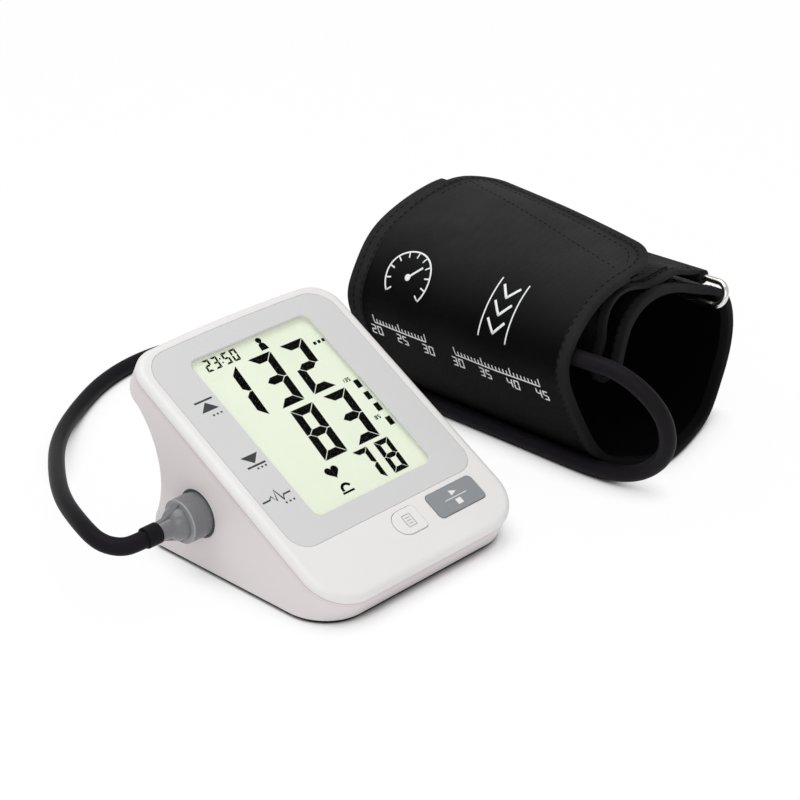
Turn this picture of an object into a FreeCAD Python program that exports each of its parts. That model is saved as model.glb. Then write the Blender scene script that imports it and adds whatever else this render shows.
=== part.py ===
import FreeCAD, Part
import math
import os
from FreeCAD import Placement, Rotation, Vector

# Digital blood pressure monitor with its arm cuff, in millimetres.
# Frame: +X to the monitor's right, +Y to the rear, +Z up, table at Z = 0,
# origin under the middle of the monitor and cuff taken together.
# Face coordinates: u to the right of the monitor's middle, v up the slope from the
# display's middle, w out of the face.

# Monitor case
monitor_x = -78.0
face_y = -10.0
face_height = 57.0
face_tilt = 31.0
body_width = 112.0
face_up = 57.6
face_down = 84.6
top_arch = 2.0
top_corner = 14.5
bottom_corner = 19.5
rim_round = 3.2
wall = 2.2
face_wall = 2.6
parting_depth = 3.6
parting_gap = 0.15
lip_thick = 1.0
lip_depth = 2.0
base_height = 1.0
head_depth = 15.5
head_back_v = 43.5
waist_y = 24.5
waist_height = 41.5
flare_y = 30.5
flare_height = 17.2
base_rear_y = 35.0
edge_round = 2.4

# Display panel, window, display and board stack
panel_side = 5.55
panel_up = 53.6
panel_from_toe = 29.4
panel_arch = 1.3
panel_top_corner = 12.5
panel_bottom_corner = 9.5
panel_thick = 1.2
panel_seat = 0.1
panel_gap = 0.15
window_shift = 1.0
window_side = 17.45
window_below = 10.8
window_above = 9.2
window_corner = 4.0
window_bevel = 0.5
window_lap = 2.5
lens_thick = 1.2
lens_gap = 0.1
lcd_thick = 2.8
lcd_gap = 0.3
holder_wall = 1.5
holder_gap = 0.2
strip_width = 3.0
board_depth = 9.0
board_thick = 1.6
board_side = 12.0
board_up = 50.0
board_from_toe = 10.6
post_radius = 2.2
post_side = 3.3
post_v_up = 20.0
post_clear = 1.0
board_screw_radius = 1.1
board_screw_head = 2.1
board_screw_head_height = 1.4
board_screw_grip = 5.0
thread_gap = 0.05

# Keys and their switches
key_from_toe = 20.4
start_side = 7.3
start_width = 26.9
start_height = 12.5
start_corner = 2.2
key_spacing = 7.3
memory_width = 14.5
memory_height = 12.0
memory_corner = 1.6
memory_bow = 5.9
key_proud = 0.5
key_gap = 0.25
key_edge = 0.4
key_flange = 1.6
key_flange_thick = 0.9
key_flange_gap = 0.1
key_travel = 0.6
switch_side = 6.0
switch_height = 2.6
plunger_radius = 1.75
plunger_gap = 0.05
plunger_rise = 1.0
plunger_floor = 0.2

# Parts on the back of the board
chip_side = 12.0
chip_thick = 1.4
chip_u = 12.0
chip_v = -22.0
beeper_radius = 6.0
beeper_height = 5.5
beeper_u = 31.0
beeper_v = -36.0
sensor_side = 8.0
sensor_height = 5.0
sensor_v = 0.0
sensor_nozzle_radius = 1.5
sensor_nozzle_length = 4.4

# Air socket in the left wall and the plug of the hose
plug_y = -0.3
plug_height = 28.2
socket_outer = 10.9
socket_inner = 10.1
socket_well = 5.0
socket_floor = 1.5
socket_flange = 13.0
socket_flange_thick = 1.2
socket_gap = 0.05
socket_tube = 4.0
socket_bore = 2.5
plug_radius = 9.8
plug_reach = 9.8
plug_end_gap = 0.3
plug_round = 0.5
plug_dome = 7.6
plug_nozzle_start = 5.4
plug_nozzle_tip = 4.2
plug_nozzle_reach = 11.2
plug_web = 2.0
plug_web_root = 9.0
plug_web_sag = 0.7
plug_bore = 0.9
spigot_radius = 2.42
spigot_length = 11.0
seal_section = 0.5
seal_middle = 1.94
seal_from_end = 3.0
seal_groove = 1.2
barb_radius = 1.7
barb_length = 6.0
collar_length = 7.0
collar_radius = 4.6
collar_gap = 0.05
collar_round = 0.5

# Hose
hose_radius = 3.8
hose_bore = 1.8
arc_share = 0.45

# Pump, valve and manifold
pump_y = 6.5
pump_height = 36.0
motor_radius = 12.0
motor_length = 28.0
motor_boss_radius = 4.0
motor_boss = 2.0
head_radius = 13.0
head_length = 22.0
head_clear = 4.5
head_cavity = 9.0
head_skin = 3.0
nozzle_radius = 2.0
shaft_radius = 1.0
shaft_gap = 0.05
shaft_tail = 1.0
crank_radius = 4.0
crank_throw = 1.2
crank_thick = 5.0
crank_gap = 2.0
cushion_length = 18.0
cushion_half = 11.0
cushion_rise = 7.0
cushion_gap = 0.1
valve_y = -18.0
valve_side = 13.0
valve_length = 18.0
valve_clear = 6.5
valve_plunger_radius = 2.0
valve_plunger_gap = 0.05
valve_seat = 4.0
valve_travel = 1.0
valve_stem_out = 2.0
valve_seat_gap = 0.2
manifold_side = 19.0
manifold_width = 14.5
manifold_margin = 5.0
manifold_top = 41.0
port_depth = 5.0
port_gap = 0.05
gallery_radius = 1.2
port_end_gap = 0.3

# Battery bay, cells, contacts and door
cell_count = 4
cell_radius = 7.1
cell_length = 49.3
cell_nub_radius = 2.6
cell_nub = 1.2
cell_pitch = 15.0
cell_gap = 0.3
bay_margin = 0.4
bay_wall = 2.0
bay_rear_y = 27.0
contact_thick = 0.5
contact_space = 2.6
contact_side = 10.0
contact_boss_radius = 2.4
contact_gap = 0.1
door_inset = 1.0
door_tongue = 2.0
door_tongue_thick = 1.0
door_gap = 0.2
door_travel = 40.0
grip_count = 5
grip_pitch = 2.4
grip_depth = 0.5
grip_width = 1.2
grip_half = 9.0
grip_from_rear = 9.0

# Feet and case screws
foot_radius = 5.0
foot_recess = 0.8
foot_gap = 0.05
foot_side_front = 20.0
foot_from_bay = 5.0
foot_from_toe = 13.55
foot_from_heel = 16.5
screw_post = 3.0
screw_radius = 1.4
screw_head = 2.6
screw_head_height = 2.0
screw_grip = 7.0
screw_sink = 0.3
screw_gap = 0.1
screw_side = 7.7
screw_from_toe = 19.05
front_post_split = 10.0
rear_screw_v = 46.0
rear_post_split = 8.0

# Cuff roll
cuff_x = 74.5
roll_half = 59.0
roll_height = 97.0
cuff_front = -70.0
cuff_width = 140.0
wrap_length = 391.0
cloth = 1.0
layer_gap = 0.1
bladder_thick = 0.6
flap_length = 28.0
flap_corner = 18.0
flap_cloth = 1.3
seam_gap = 0.3
hook_thick = 1.2
hook_margin = 4.0
loop_thick = 1.2
loop_start = 20.0
loop_length = 44.0
binding_lap = 6.5
binding_thick = 0.5
binding_from_seam = 2.0
bladder_margin = 12.0
bladder_start = 60.0
bladder_length = 220.0
strap_thick = 1.6
strap_margin = 4.0
sample_step = 6.0

# Ring of the cuff and the hose joint of the bladder
wire_radius = 1.5
ring_span = 11.0
ring_over = 10.0
ring_loop_gap = 0.2
ring_out = 0.6864
ring_rise = 0.732
ring_lean = 68.0
nipple_radius = 3.6
nipple_length = 9.0
nipple_stem = 2.6
nipple_stem_gap = 0.3

# Hand-chosen points of the band's outer side, as shares of the roll's half width from its
# middle and of its height: first the flap's free edge, over the top, down the left side, under
# and up the right side, then distances from the ring where the band passes through it.
wrap_shares = [
    (0.390, 0.974), (0.161, 0.992), (-0.076, 0.982), (-0.331, 0.954), (-0.585, 0.905), (-0.797, 0.825),
    (-0.949, 0.711), (-0.998, 0.619), (-0.945, 0.474), (-0.790, 0.256), (-0.606, 0.096), (-0.475, 0.037),
    (-0.314, 0.019), (0.060, 0.016), (0.432, 0.018), (0.610, 0.034), (0.791, 0.114), (0.892, 0.216),
    (0.959, 0.326), (0.985, 0.443), (0.958, 0.546), (0.890, 0.619)]
through_ring = [(5.5, -6.7), (-7.2, -1.85)]

# The inner layer, the fold at its end and the strap back to the ring, as shares again.
inner_shares = [
    (0.361, 0.763), (0.195, 0.789), (0.031, 0.794), (-0.100, 0.778), (-0.195, 0.748), (-0.276, 0.703),
    (-0.329, 0.648), (-0.378, 0.570), (-0.403, 0.505), (-0.422, 0.467), (-0.461, 0.457), (-0.500, 0.467),
    (-0.517, 0.500), (-0.512, 0.541), (-0.493, 0.593), (-0.473, 0.660), (-0.473, 0.713), (-0.439, 0.769),
    (-0.369, 0.806), (-0.275, 0.822), (-0.159, 0.824), (0.034, 0.816), (0.269, 0.804), (0.492, 0.779)]

# Hose route, chosen point by point: distances from the plug's tip, then places on the table,
# then beside the cuff and round its front edge (share of the half width, distance behind the
# front edge, share of the height), and last inside it (distance from its left side).
hose_from_plug = [
    (0.0, 0.0, 0.0), (-13.0, 0.0, 0.0), (-22.5, 8.8, 0.1), (-19.5, 28.3, 2.6), (-8.0, 54.8, -0.9),
    (13.5, 91.3, -8.7), (42.5, 130.8, -18.7)]
hose_on_table = [
    (-82.0, 160.0), (-47.0, 180.0), (-13.0, 184.5), (16.0, 173.5), (34.0, 148.5), (40.0, 111.5)]
hose_beside_cuff = [(-0.614, 135.5), (-0.624, 87.5), (-0.629, 45.5), (-0.641, -2.0)]
hose_loop = [(-0.576, -22.0, 0.082), (-0.585, -38.0, 0.247), (-0.686, -39.5, 0.479)]
hose_inside = [(11.9, -22.5, 0.6443), (8.5, 0.5, 0.6546), (8.5, 27.5, 0.6546)]
table_gap = 0.05

face_place = Placement(Vector(monitor_x, face_y, face_height), Rotation(Vector(1, 0, 0), face_tilt))
X_AXIS = Vector(1, 0, 0)
Y_AXIS = Vector(0, 1, 0)
Z_AXIS = Vector(0, 0, 1)
NEAR = 1e-3
EDGE_SAMPLES = 7

face_normal = face_place.Rotation.multVec(Z_AXIS)
case_reach = face_up + face_down
body_half = body_width / 2
panel_width = body_width - 2 * panel_side
panel_down = face_down - panel_from_toe
window_width = panel_width - 2 * window_side
window_low = window_below - panel_down
window_high = panel_up - window_above
board_down = face_down - board_from_toe
key_v_mid = key_from_toe - face_down
board_half = body_half - board_side
post_u = board_half - post_side
post_v_down = key_v_mid + start_height / 2 + key_flange + post_radius + post_clear
start_u = panel_width / 2 - start_side - start_width / 2
memory_u = start_u - (start_width + memory_width) / 2 - key_spacing
manifold_left_u = manifold_side - body_half
manifold_right_u = manifold_left_u + manifold_width
motor_start_u = manifold_right_u + head_clear + head_length
valve_start_u = manifold_right_u + valve_clear
screw_u = body_half - screw_side
tilt = math.radians(face_tilt)
toe_depth = (face_height - face_down * math.sin(tilt) - base_height) / math.cos(tilt)
toe_y = face_y - face_down * math.cos(tilt) + toe_depth * math.sin(tilt)
foot_y_front = toe_y + foot_from_toe
foot_y_rear = base_rear_y - foot_from_heel
front_screw_y = toe_y + screw_from_toe
board_back = board_depth + board_thick
lcd_front = face_wall + lcd_gap
lcd_back = lcd_front + lcd_thick
switch_top = board_depth - switch_height
plunger_top = switch_top - plunger_rise
plunger_depth = switch_height - key_travel - plunger_floor
sensor_u = (manifold_left_u + manifold_right_u) / 2
bladder_out = cloth + layer_gap
bladder_in = bladder_out + bladder_thick
cloth_stack = bladder_in + layer_gap + cloth
cuff_rear = cuff_front + cuff_width
door_top = base_height + wall
left_wall_x = monitor_x - body_half
ring_x = cuff_x + roll_half * ring_out
ring_height = roll_height * ring_rise
loop_bore = wire_radius + ring_loop_gap
cell_axis_height = door_top + cell_gap + cell_radius
bay_half = cell_pitch * cell_count / 2
bay_length = cell_length + cell_nub + 2 * contact_space
bay_front_y = bay_rear_y - bay_length
bay_top = cell_axis_height + cell_radius + bay_margin
bay_roof = bay_top + bay_wall
valve_height = bay_roof + valve_side / 2
door_half = bay_half - door_inset
foot_u_rear = bay_half + bay_wall + foot_from_bay + foot_radius


def roll_point(share):
    return Vector(cuff_x + roll_half * share[0], 0, roll_height * share[1])


def ring_point(across, up):
    return Vector(ring_x + across, 0, ring_height + up)


def hose_route():
    """All points of the hose's route, from the plug's tip to the joint in the cuff."""
    tip_x = left_wall_x - plug_reach - plug_nozzle_reach
    rest = hose_radius + table_gap
    spots = [Vector(tip_x + x, plug_y + y, plug_height + z) for x, y, z in hose_from_plug]
    spots += [Vector(x, y, rest) for x, y in hose_on_table]
    spots += [Vector(cuff_x + roll_half * x, cuff_front + y, rest) for x, y in hose_beside_cuff]
    spots += [Vector(cuff_x + roll_half * x, cuff_front + y, roll_height * z) for x, y, z in hose_loop]
    spots += [Vector(cuff_x - roll_half + x, cuff_front + y, roll_height * z) for x, y, z in hose_inside]
    return spots


hose_points = hose_route()
hose_end = hose_points[-1]
nipple_y = hose_end.y + nipple_length / 2


def on_face(shape):
    """Place a shape drawn in face coordinates on the sloping face."""
    placed = shape.copy()
    placed.Placement = face_place.multiply(placed.Placement)
    return placed


def face_point(u, v, w):
    return face_place.multVec(Vector(u, v, w))


def block(x0, x1, y0, y1, z0, z1):
    return Part.makeBox(x1 - x0, y1 - y0, z1 - z0, Vector(x0, y0, z0))


def rod(radius, start, end):
    start = Vector(*start)
    axis = Vector(*end) - start
    return Part.makeCylinder(radius, axis.Length, start, axis)


def plate(u0, u1, v0, v1, w0, w1, corners, arch=0.0):
    """Plate in face coordinates: corner radii from low left round to high left, bowed upper edge."""
    spots = [Vector(u0, v0, w0), Vector(u1, v0, w0), Vector(u1, v1, w0), Vector(u0, v1, w0)]
    sides = [Part.makeLine(spots[0], spots[1]), Part.makeLine(spots[1], spots[2]),
             Part.makeLine(spots[2], spots[3]), Part.makeLine(spots[3], spots[0])]
    if arch:
        sides[2] = Part.Arc(spots[2], Vector((u0 + u1) / 2, v1 + arch, w0), spots[3]).toShape()
    solid = Part.Face(Part.Wire(sides)).extrude(Vector(0, 0, w1 - w0))
    for spot, radius in [pair for pair in zip(spots, corners) if pair[1]]:
        upright = [e for e in solid.Edges if all(math.hypot(p.x - spot.x, p.y - spot.y) < NEAR
                                                 for p in e.discretize(EDGE_SAMPLES))]
        solid = solid.makeFillet(radius, upright)
    return solid


def case_solid(inset, face_inset):
    """Case outline carried down the face's normal, cut by the table side and the waisted rear."""
    half = body_half - inset
    low, high = bottom_corner - inset, top_corner - inset
    outer = on_face(plate(-half, half, -face_down + inset, face_up - inset, -case_reach, -face_inset,
                          (low, low, high, high), top_arch))
    left = monitor_x - half
    base = base_height + inset
    far_front = -2 * face_down
    far_top = 4 * face_height
    head = face_point(-half, head_back_v, -head_depth + inset)
    head_top = face_point(-half, 2 * face_up, -head_depth + inset)
    waist = Vector(left, waist_y - inset, waist_height)
    flare = Vector(left, flare_y - inset, flare_height)
    heel = Vector(left, base_rear_y - inset, base)
    toe = Vector(left, far_front, base)
    brow = Vector(left, far_front, far_top)
    crown = Vector(left, head_top.y, far_top)
    profile = [Part.makeLine(toe, heel), Part.makeLine(heel, flare), Part.Arc(flare, waist, head).toShape(),
               Part.makeLine(head, head_top), Part.makeLine(head_top, crown), Part.makeLine(crown, brow),
               Part.makeLine(brow, toe)]
    side = Part.Face(Part.Wire(profile)).extrude(Vector(2 * half, 0, 0))
    return outer.common(side).Solids[0]


def rounded_case():
    """The outside of the case with its rolled rim, rear edges and base edges."""
    body = case_solid(0.0, 0.0)
    to_face = face_place.inverse()

    def lies(edge, test):
        return all(test(p, to_face.multVec(p)) for p in edge.discretize(EDGE_SAMPLES))

    rim = [e for e in body.Edges if lies(e, lambda p, q: abs(q.z) < NEAR)]
    body = body.makeFillet(rim_round, rim)
    back = [e for e in body.Edges
            if lies(e, lambda p, q: abs(q.z + head_depth) < NEAR or abs(p.z - base_height) < NEAR)
            or (e.CenterOfMass.y > waist_y and lies(e, lambda p, q: abs(abs(q.x) - body_half) < NEAR
                                                    and q.z < -head_depth + NEAR))]
    return body.makeFillet(edge_round, back)


def slab(w0, w1):
    """Everything between two levels of the face's normal."""
    reach = 3 * case_reach
    return on_face(block(-reach, reach, -reach, reach, w0, w1))


def tube(outer, inner, start, end):
    return rod(outer, start, end).cut(rod(inner, start, end))


def window_plate(grow, w0, w1):
    """Plate of the display window's outline, grown all round."""
    half_u = window_width / 2 + grow
    return plate(window_shift - half_u, window_shift + half_u, window_low - grow, window_high + grow, w0, w1,
                 [window_corner + grow] * 4)


def panel_plate(grow, w0, w1):
    half = panel_width / 2 + grow
    low, high = panel_bottom_corner + grow, panel_top_corner + grow
    return plate(-half, half, -panel_down - grow, panel_up + grow, w0, w1, (low, low, high, high), panel_arch)


def start_plate(grow, w0, w1):
    half_u, half_v = start_width / 2 + grow, start_height / 2 + grow
    return plate(start_u - half_u, start_u + half_u, key_v_mid - half_v, key_v_mid + half_v, w0, w1,
                 [start_corner + grow] * 4)


def memory_plate(grow, w0, w1):
    half_u, half_v = memory_width / 2 + grow, memory_height / 2 + grow
    bow, corner = memory_bow + grow, memory_corner + grow
    return plate(memory_u - half_u, memory_u + half_u, key_v_mid - half_v, key_v_mid + half_v, w0, w1,
                 (bow, corner, corner, bow))


def board_posts():
    return [(u, v) for u in (-post_u, post_u) for v in (post_v_down, post_v_up)]


def screw_spots():
    """Case screws as start point, direction, the level where the two posts meet, and the grip beyond it."""
    spots = []
    for side in (-1, 1):
        spots.append((Vector(monitor_x + side * screw_u, front_screw_y, base_height), Z_AXIS,
                      front_post_split - base_height, screw_grip))
        spots.append((face_point(side * screw_u, rear_screw_v, -head_depth), face_normal,
                      head_depth - rear_post_split, rear_post_split - face_wall))
    return spots


def along(start, axis, radius, near, far):
    return Part.makeCylinder(radius, far - near, start + axis * near, axis)


def front_cover():
    shell = case_outside.cut(case_inside).common(slab(-parting_depth, case_reach))
    lip = case_solid(wall + parting_gap, face_wall).cut(case_solid(wall + parting_gap + lip_thick, face_wall))
    cover = shell.fuse(lip.common(slab(-parting_depth - lip_depth, -face_wall + lip_thick)))
    for u, v in board_posts():
        cover = cover.fuse(on_face(rod(post_radius, (u, v, -face_wall), (u, v, -board_depth))))
    for start, axis, split, grip in screw_spots():
        post = along(start, axis, screw_post, split, case_reach).common(case_inside)
        cover = cover.fuse(post)
        cover = cover.cut(along(start, axis, screw_radius + thread_gap, split, split + grip))
    openings = [panel_plate(panel_gap, -panel_thick - panel_seat, rim_round),
                window_plate(window_lap + lens_gap, -case_reach, 0),
                start_plate(key_gap, -case_reach, rim_round), memory_plate(key_gap, -case_reach, rim_round)]
    openings += [rod(board_screw_radius + thread_gap, (u, v, -board_depth),
                     (u, v, -board_depth + board_screw_grip)) for u, v in board_posts()]
    return cover.cut([on_face(o) for o in openings]).removeSplitter()


def door_path(gap):
    """Section of the battery door with its side tongues, run out through the rear."""
    far = base_rear_y + door_travel
    leaf = block(monitor_x - door_half - gap, monitor_x + door_half + gap, bay_front_y, far,
                 base_height - gap, door_top + gap)
    reach = door_half + door_tongue + gap
    tongue = block(monitor_x - reach, monitor_x + reach, bay_front_y, far,
                   door_top - door_tongue_thick - gap, door_top + gap)
    return leaf.fuse(tongue)


def rear_cover():
    cover = case_outside.cut(case_inside).common(slab(-2 * case_reach, -parting_depth - parting_gap))
    outer = bay_half + bay_wall
    bay = block(monitor_x - outer, monitor_x + outer, bay_front_y - bay_wall, bay_rear_y + bay_wall,
                base_height, bay_roof)
    cover = cover.fuse(bay.common(case_outside))
    for start, axis, split, grip in screw_spots():
        cover = cover.fuse(along(start, axis, screw_post, wall / 2, split - parting_gap))
    cuts = [block(monitor_x - bay_half, monitor_x + bay_half, bay_front_y, bay_rear_y, door_top, bay_top),
            door_path(door_gap),
            rod(socket_outer + socket_gap, (left_wall_x - wall, plug_y, plug_height),
                (left_wall_x + 2 * wall, plug_y, plug_height))]
    for start, axis, split, grip in screw_spots():
        cuts.append(along(start, axis, screw_radius + screw_gap, 0, split))
        cuts.append(along(start, axis, screw_head + screw_gap, -wall, screw_sink + screw_head_height))
    for x, y in foot_spots():
        cuts.append(rod(foot_radius + foot_gap, (x, y, base_height - wall),
                        (x, y, base_height + foot_recess)))
    return cover.cut(cuts).removeSplitter()


def case_screws():
    screws = []
    for start, axis, split, grip in screw_spots():
        head = along(start, axis, screw_head, screw_sink, screw_sink + screw_head_height)
        shank = along(start, axis, screw_radius, screw_sink, split + grip - screw_gap)
        screws.append(head.fuse(shank))
    return screws


def foot_spots():
    spots = [(body_half - foot_side_front, foot_y_front), (foot_u_rear, foot_y_rear)]
    return [(monitor_x + side * u, y) for u, y in spots for side in (-1, 1)]


def rubber_feet():
    top = base_height + foot_recess - foot_gap
    return [rod(foot_radius, (x, y, 0), (x, y, top)) for x, y in foot_spots()]


def display_panel():
    panel = panel_plate(0, -panel_thick, 0)
    panel = panel.cut(window_plate(0, -case_reach, case_reach))
    half_u = window_width / 2
    rim = [e for e in panel.Edges if abs(e.CenterOfMass.z) < NEAR
           and abs(e.CenterOfMass.x - window_shift) < half_u + NEAR
           and window_low - NEAR < e.CenterOfMass.y < window_high + NEAR]
    return on_face(panel.makeChamfer(window_bevel, rim))


def window_lens():
    top = panel_thick + panel_seat
    return on_face(window_plate(window_lap, -top - lens_thick, -top))


def lcd_glass():
    return on_face(window_plate(window_lap, -lcd_back, -lcd_front))


def lcd_holder():
    frame = window_plate(window_lap + holder_gap + holder_wall, -board_depth, -face_wall)
    return on_face(frame.cut(window_plate(window_lap + holder_gap, -board_depth, 0)))


def connector_strips():
    half_u = window_width / 2
    inset = strip_width / 2 - window_lap
    strips = []
    for v in (window_low + inset, window_high - inset - strip_width):
        strips.append(on_face(block(window_shift - half_u, window_shift + half_u, v, v + strip_width,
                                    -board_depth, -lcd_back)))
    return strips


def main_board():
    board = block(-board_half, board_half, -board_down, board_up, -board_back, -board_depth)
    holes = [rod(board_screw_radius + screw_gap, (u, v, -board_back), (u, v, -board_depth))
             for u, v in board_posts()]
    return on_face(board.cut(holes))


def board_screws():
    screws = []
    for u, v in board_posts():
        head = rod(board_screw_head, (u, v, -board_back - board_screw_head_height), (u, v, -board_back))
        shank = rod(board_screw_radius, (u, v, -board_back),
                    (u, v, -board_depth + board_screw_grip - screw_gap))
        screws.append(on_face(head.fuse(shank)))
    return screws


def key(outline, u):
    """Key cap with its retaining flange and the stem that stands over the switch."""
    flange_top = face_wall + key_flange_gap
    flange_low = flange_top + key_flange_thick
    cap = outline(0, -flange_top, key_proud)
    cap = cap.makeFillet(key_edge, [e for e in cap.Edges if abs(e.CenterOfMass.z - key_proud) < NEAR])
    cap = cap.fuse(outline(key_flange, -flange_low, -flange_top))
    stem = rod(plunger_radius, (u, key_v_mid, -plunger_top + plunger_gap), (u, key_v_mid, -flange_low))
    return on_face(cap.fuse(stem).removeSplitter())


def key_switches():
    half = switch_side / 2
    bodies = []
    for u in (start_u, memory_u):
        body = block(u - half, u + half, key_v_mid - half, key_v_mid + half, -board_depth, -switch_top)
        bodies.append(on_face(body.cut(rod(plunger_radius + plunger_gap, (u, key_v_mid, -board_depth),
                                           (u, key_v_mid, -switch_top)))))
    return bodies


def switch_plunger(u):
    return on_face(rod(plunger_radius, (u, key_v_mid, -switch_top - plunger_depth),
                       (u, key_v_mid, -plunger_top)))


def main_chip():
    half = chip_side / 2
    return on_face(block(chip_u - half, chip_u + half, chip_v - half, chip_v + half,
                         -board_back - chip_thick, -board_back))


def beeper():
    return on_face(rod(beeper_radius, (beeper_u, beeper_v, -board_back - beeper_height),
                       (beeper_u, beeper_v, -board_back)))


def pressure_sensor():
    half = sensor_side / 2
    low = board_back + sensor_height
    body = block(sensor_u - half, sensor_u + half, sensor_v - half, sensor_v + half, -low, -board_back)
    nozzle = rod(sensor_nozzle_radius, (sensor_u, sensor_v, -low - sensor_nozzle_length),
                 (sensor_u, sensor_v, -low))
    bore = rod(sensor_nozzle_radius / 2, (sensor_u, sensor_v, -low - sensor_nozzle_length),
               (sensor_u, sensor_v, -low + sensor_nozzle_radius))
    return on_face(body.fuse(nozzle).cut(bore))


def at_u(u, y, z):
    return (monitor_x + u, y, z)


def pump_motor():
    end = motor_start_u + motor_length
    can = rod(motor_radius, at_u(motor_start_u, pump_y, pump_height), at_u(end, pump_y, pump_height))
    boss = rod(motor_boss_radius, at_u(end, pump_y, pump_height), at_u(end + motor_boss, pump_y, pump_height))
    bore = rod(shaft_radius + shaft_gap, at_u(motor_start_u, pump_y, pump_height),
               at_u(end, pump_y, pump_height))
    return can.fuse(boss).cut(bore).removeSplitter()


def pump_head():
    left = motor_start_u - head_length
    tip = manifold_right_u - port_depth + port_end_gap
    body = rod(head_radius, at_u(left, pump_y, pump_height), at_u(motor_start_u, pump_y, pump_height))
    body = body.fuse(rod(nozzle_radius, at_u(tip, pump_y, pump_height), at_u(left, pump_y, pump_height)))
    cavity = rod(head_cavity, at_u(left + head_skin, pump_y, pump_height),
                 at_u(motor_start_u - head_skin, pump_y, pump_height))
    shaft_way = rod(shaft_radius + shaft_gap, at_u(left + head_skin, pump_y, pump_height),
                    at_u(motor_start_u, pump_y, pump_height))
    outlet = rod(nozzle_radius / 2, at_u(tip, pump_y, pump_height),
                 at_u(left + head_skin, pump_y, pump_height))
    return body.cut([cavity, shaft_way, outlet]).removeSplitter()


def pump_shaft():
    crank_u = motor_start_u - head_length + head_skin + crank_gap
    end = motor_start_u + motor_length - shaft_tail
    shaft = rod(shaft_radius, at_u(crank_u, pump_y, pump_height), at_u(end, pump_y, pump_height))
    crank = rod(crank_radius, at_u(crank_u, pump_y, pump_height + crank_throw),
                at_u(crank_u + crank_thick, pump_y, pump_height + crank_throw))
    return shaft.fuse(crank).removeSplitter()


def pump_cushion():
    start = motor_start_u + (motor_length - cushion_length) / 2
    pad = block(monitor_x + start, monitor_x + start + cushion_length, pump_y - cushion_half,
                pump_y + cushion_half, bay_roof, pump_height - motor_radius + cushion_rise)
    return pad.cut(rod(motor_radius + cushion_gap, at_u(start, pump_y, pump_height),
                       at_u(start + cushion_length, pump_y, pump_height)))


def release_valve():
    half = valve_side / 2
    end = valve_start_u + valve_length
    tip = manifold_right_u - port_depth + port_end_gap
    body = block(monitor_x + valve_start_u, monitor_x + end, valve_y - half, valve_y + half,
                 valve_height - half, valve_height + half)
    body = body.fuse(rod(nozzle_radius, at_u(tip, valve_y, valve_height),
                         at_u(valve_start_u, valve_y, valve_height)))
    bore = rod(valve_plunger_radius + valve_plunger_gap,
               at_u(valve_start_u + valve_seat, valve_y, valve_height), at_u(end, valve_y, valve_height))
    way = rod(nozzle_radius / 2, at_u(tip, valve_y, valve_height),
              at_u(valve_start_u + valve_seat, valve_y, valve_height))
    return body.cut([bore, way]).removeSplitter()


def valve_plunger():
    start = valve_start_u + valve_seat + valve_travel + valve_seat_gap
    end = valve_start_u + valve_length + valve_stem_out
    return rod(valve_plunger_radius, at_u(start, valve_y, valve_height), at_u(end, valve_y, valve_height))


def air_manifold():
    """Moulded rubber block that joins socket, pump, valve and sensor."""
    body = block(monitor_x + manifold_left_u, monitor_x + manifold_right_u, valve_y - manifold_margin,
                 pump_y + manifold_margin, bay_roof, manifold_top)
    sensor_low = board_back + sensor_height + port_gap
    body = body.common(slab(-2 * case_reach, -sensor_low))
    hub = Vector(*at_u(manifold_left_u + port_depth, plug_y, plug_height))
    ends = [Vector(*at_u(manifold_right_u - port_depth, pump_y, pump_height)),
            Vector(*at_u(manifold_right_u - port_depth, valve_y, valve_height)),
            face_point(sensor_u, sensor_v, -sensor_low - port_depth)]
    cuts = [rod(socket_tube + port_gap, at_u(manifold_left_u, plug_y, plug_height), hub)]
    for end in ends[:2]:
        cuts.append(rod(nozzle_radius + port_gap, end, end + X_AXIS * port_depth))
    cuts.append(rod(sensor_nozzle_radius + port_gap, ends[2], face_point(sensor_u, sensor_v, -sensor_low)))
    cuts += [rod(gallery_radius, hub, end) for end in ends]
    return body.cut(cuts)


def air_socket():
    """Cup set in the left wall with a tube that leads into the manifold."""
    def at(depth):
        return (left_wall_x + depth, plug_y, plug_height)

    back = socket_well + socket_floor
    tube_end = monitor_x + manifold_left_u + port_depth - port_end_gap - left_wall_x
    body = rod(socket_outer, at(0), at(back)).cut(rod(socket_inner, at(0), at(socket_well)))
    body = body.fuse(tube(socket_flange, socket_inner, at(wall), at(wall + socket_flange_thick)))
    body = body.fuse(rod(socket_tube, at(socket_well), at(tube_end)))
    return body.cut(rod(socket_bore, at(socket_well), at(tube_end))).removeSplitter()


def plug_at(out):
    return (left_wall_x - out, plug_y, plug_height)


def air_plug():
    inner_end = plug_end_gap - socket_well
    body = rod(plug_radius, plug_at(inner_end), plug_at(plug_reach))
    ends = [e for e in body.Edges if e.Curve.TypeId == "Part::GeomCircle"]
    body = body.makeFillet(plug_round, ends)
    body = body.fuse(Part.makeSphere(plug_dome, Vector(*plug_at(plug_reach))))
    nozzle = Part.makeCone(plug_nozzle_start, plug_nozzle_tip, plug_nozzle_reach,
                           Vector(*plug_at(plug_reach)), -X_AXIS)
    body = body.fuse([nozzle, plug_fan()])
    spigot_end = inner_end - spigot_length
    body = body.fuse(rod(spigot_radius, plug_at(inner_end), plug_at(spigot_end)))
    tip = plug_reach + plug_nozzle_reach
    body = body.fuse(rod(barb_radius, plug_at(tip), plug_at(tip + barb_length)))
    groove = spigot_end + seal_from_end
    cuts = [tube(spigot_radius + seal_section, seal_middle - seal_section, plug_at(groove - seal_groove / 2),
                 plug_at(groove + seal_groove / 2)),
            rod(plug_bore, plug_at(spigot_end), plug_at(tip + barb_length))]
    return body.cut(cuts).removeSplitter()


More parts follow.
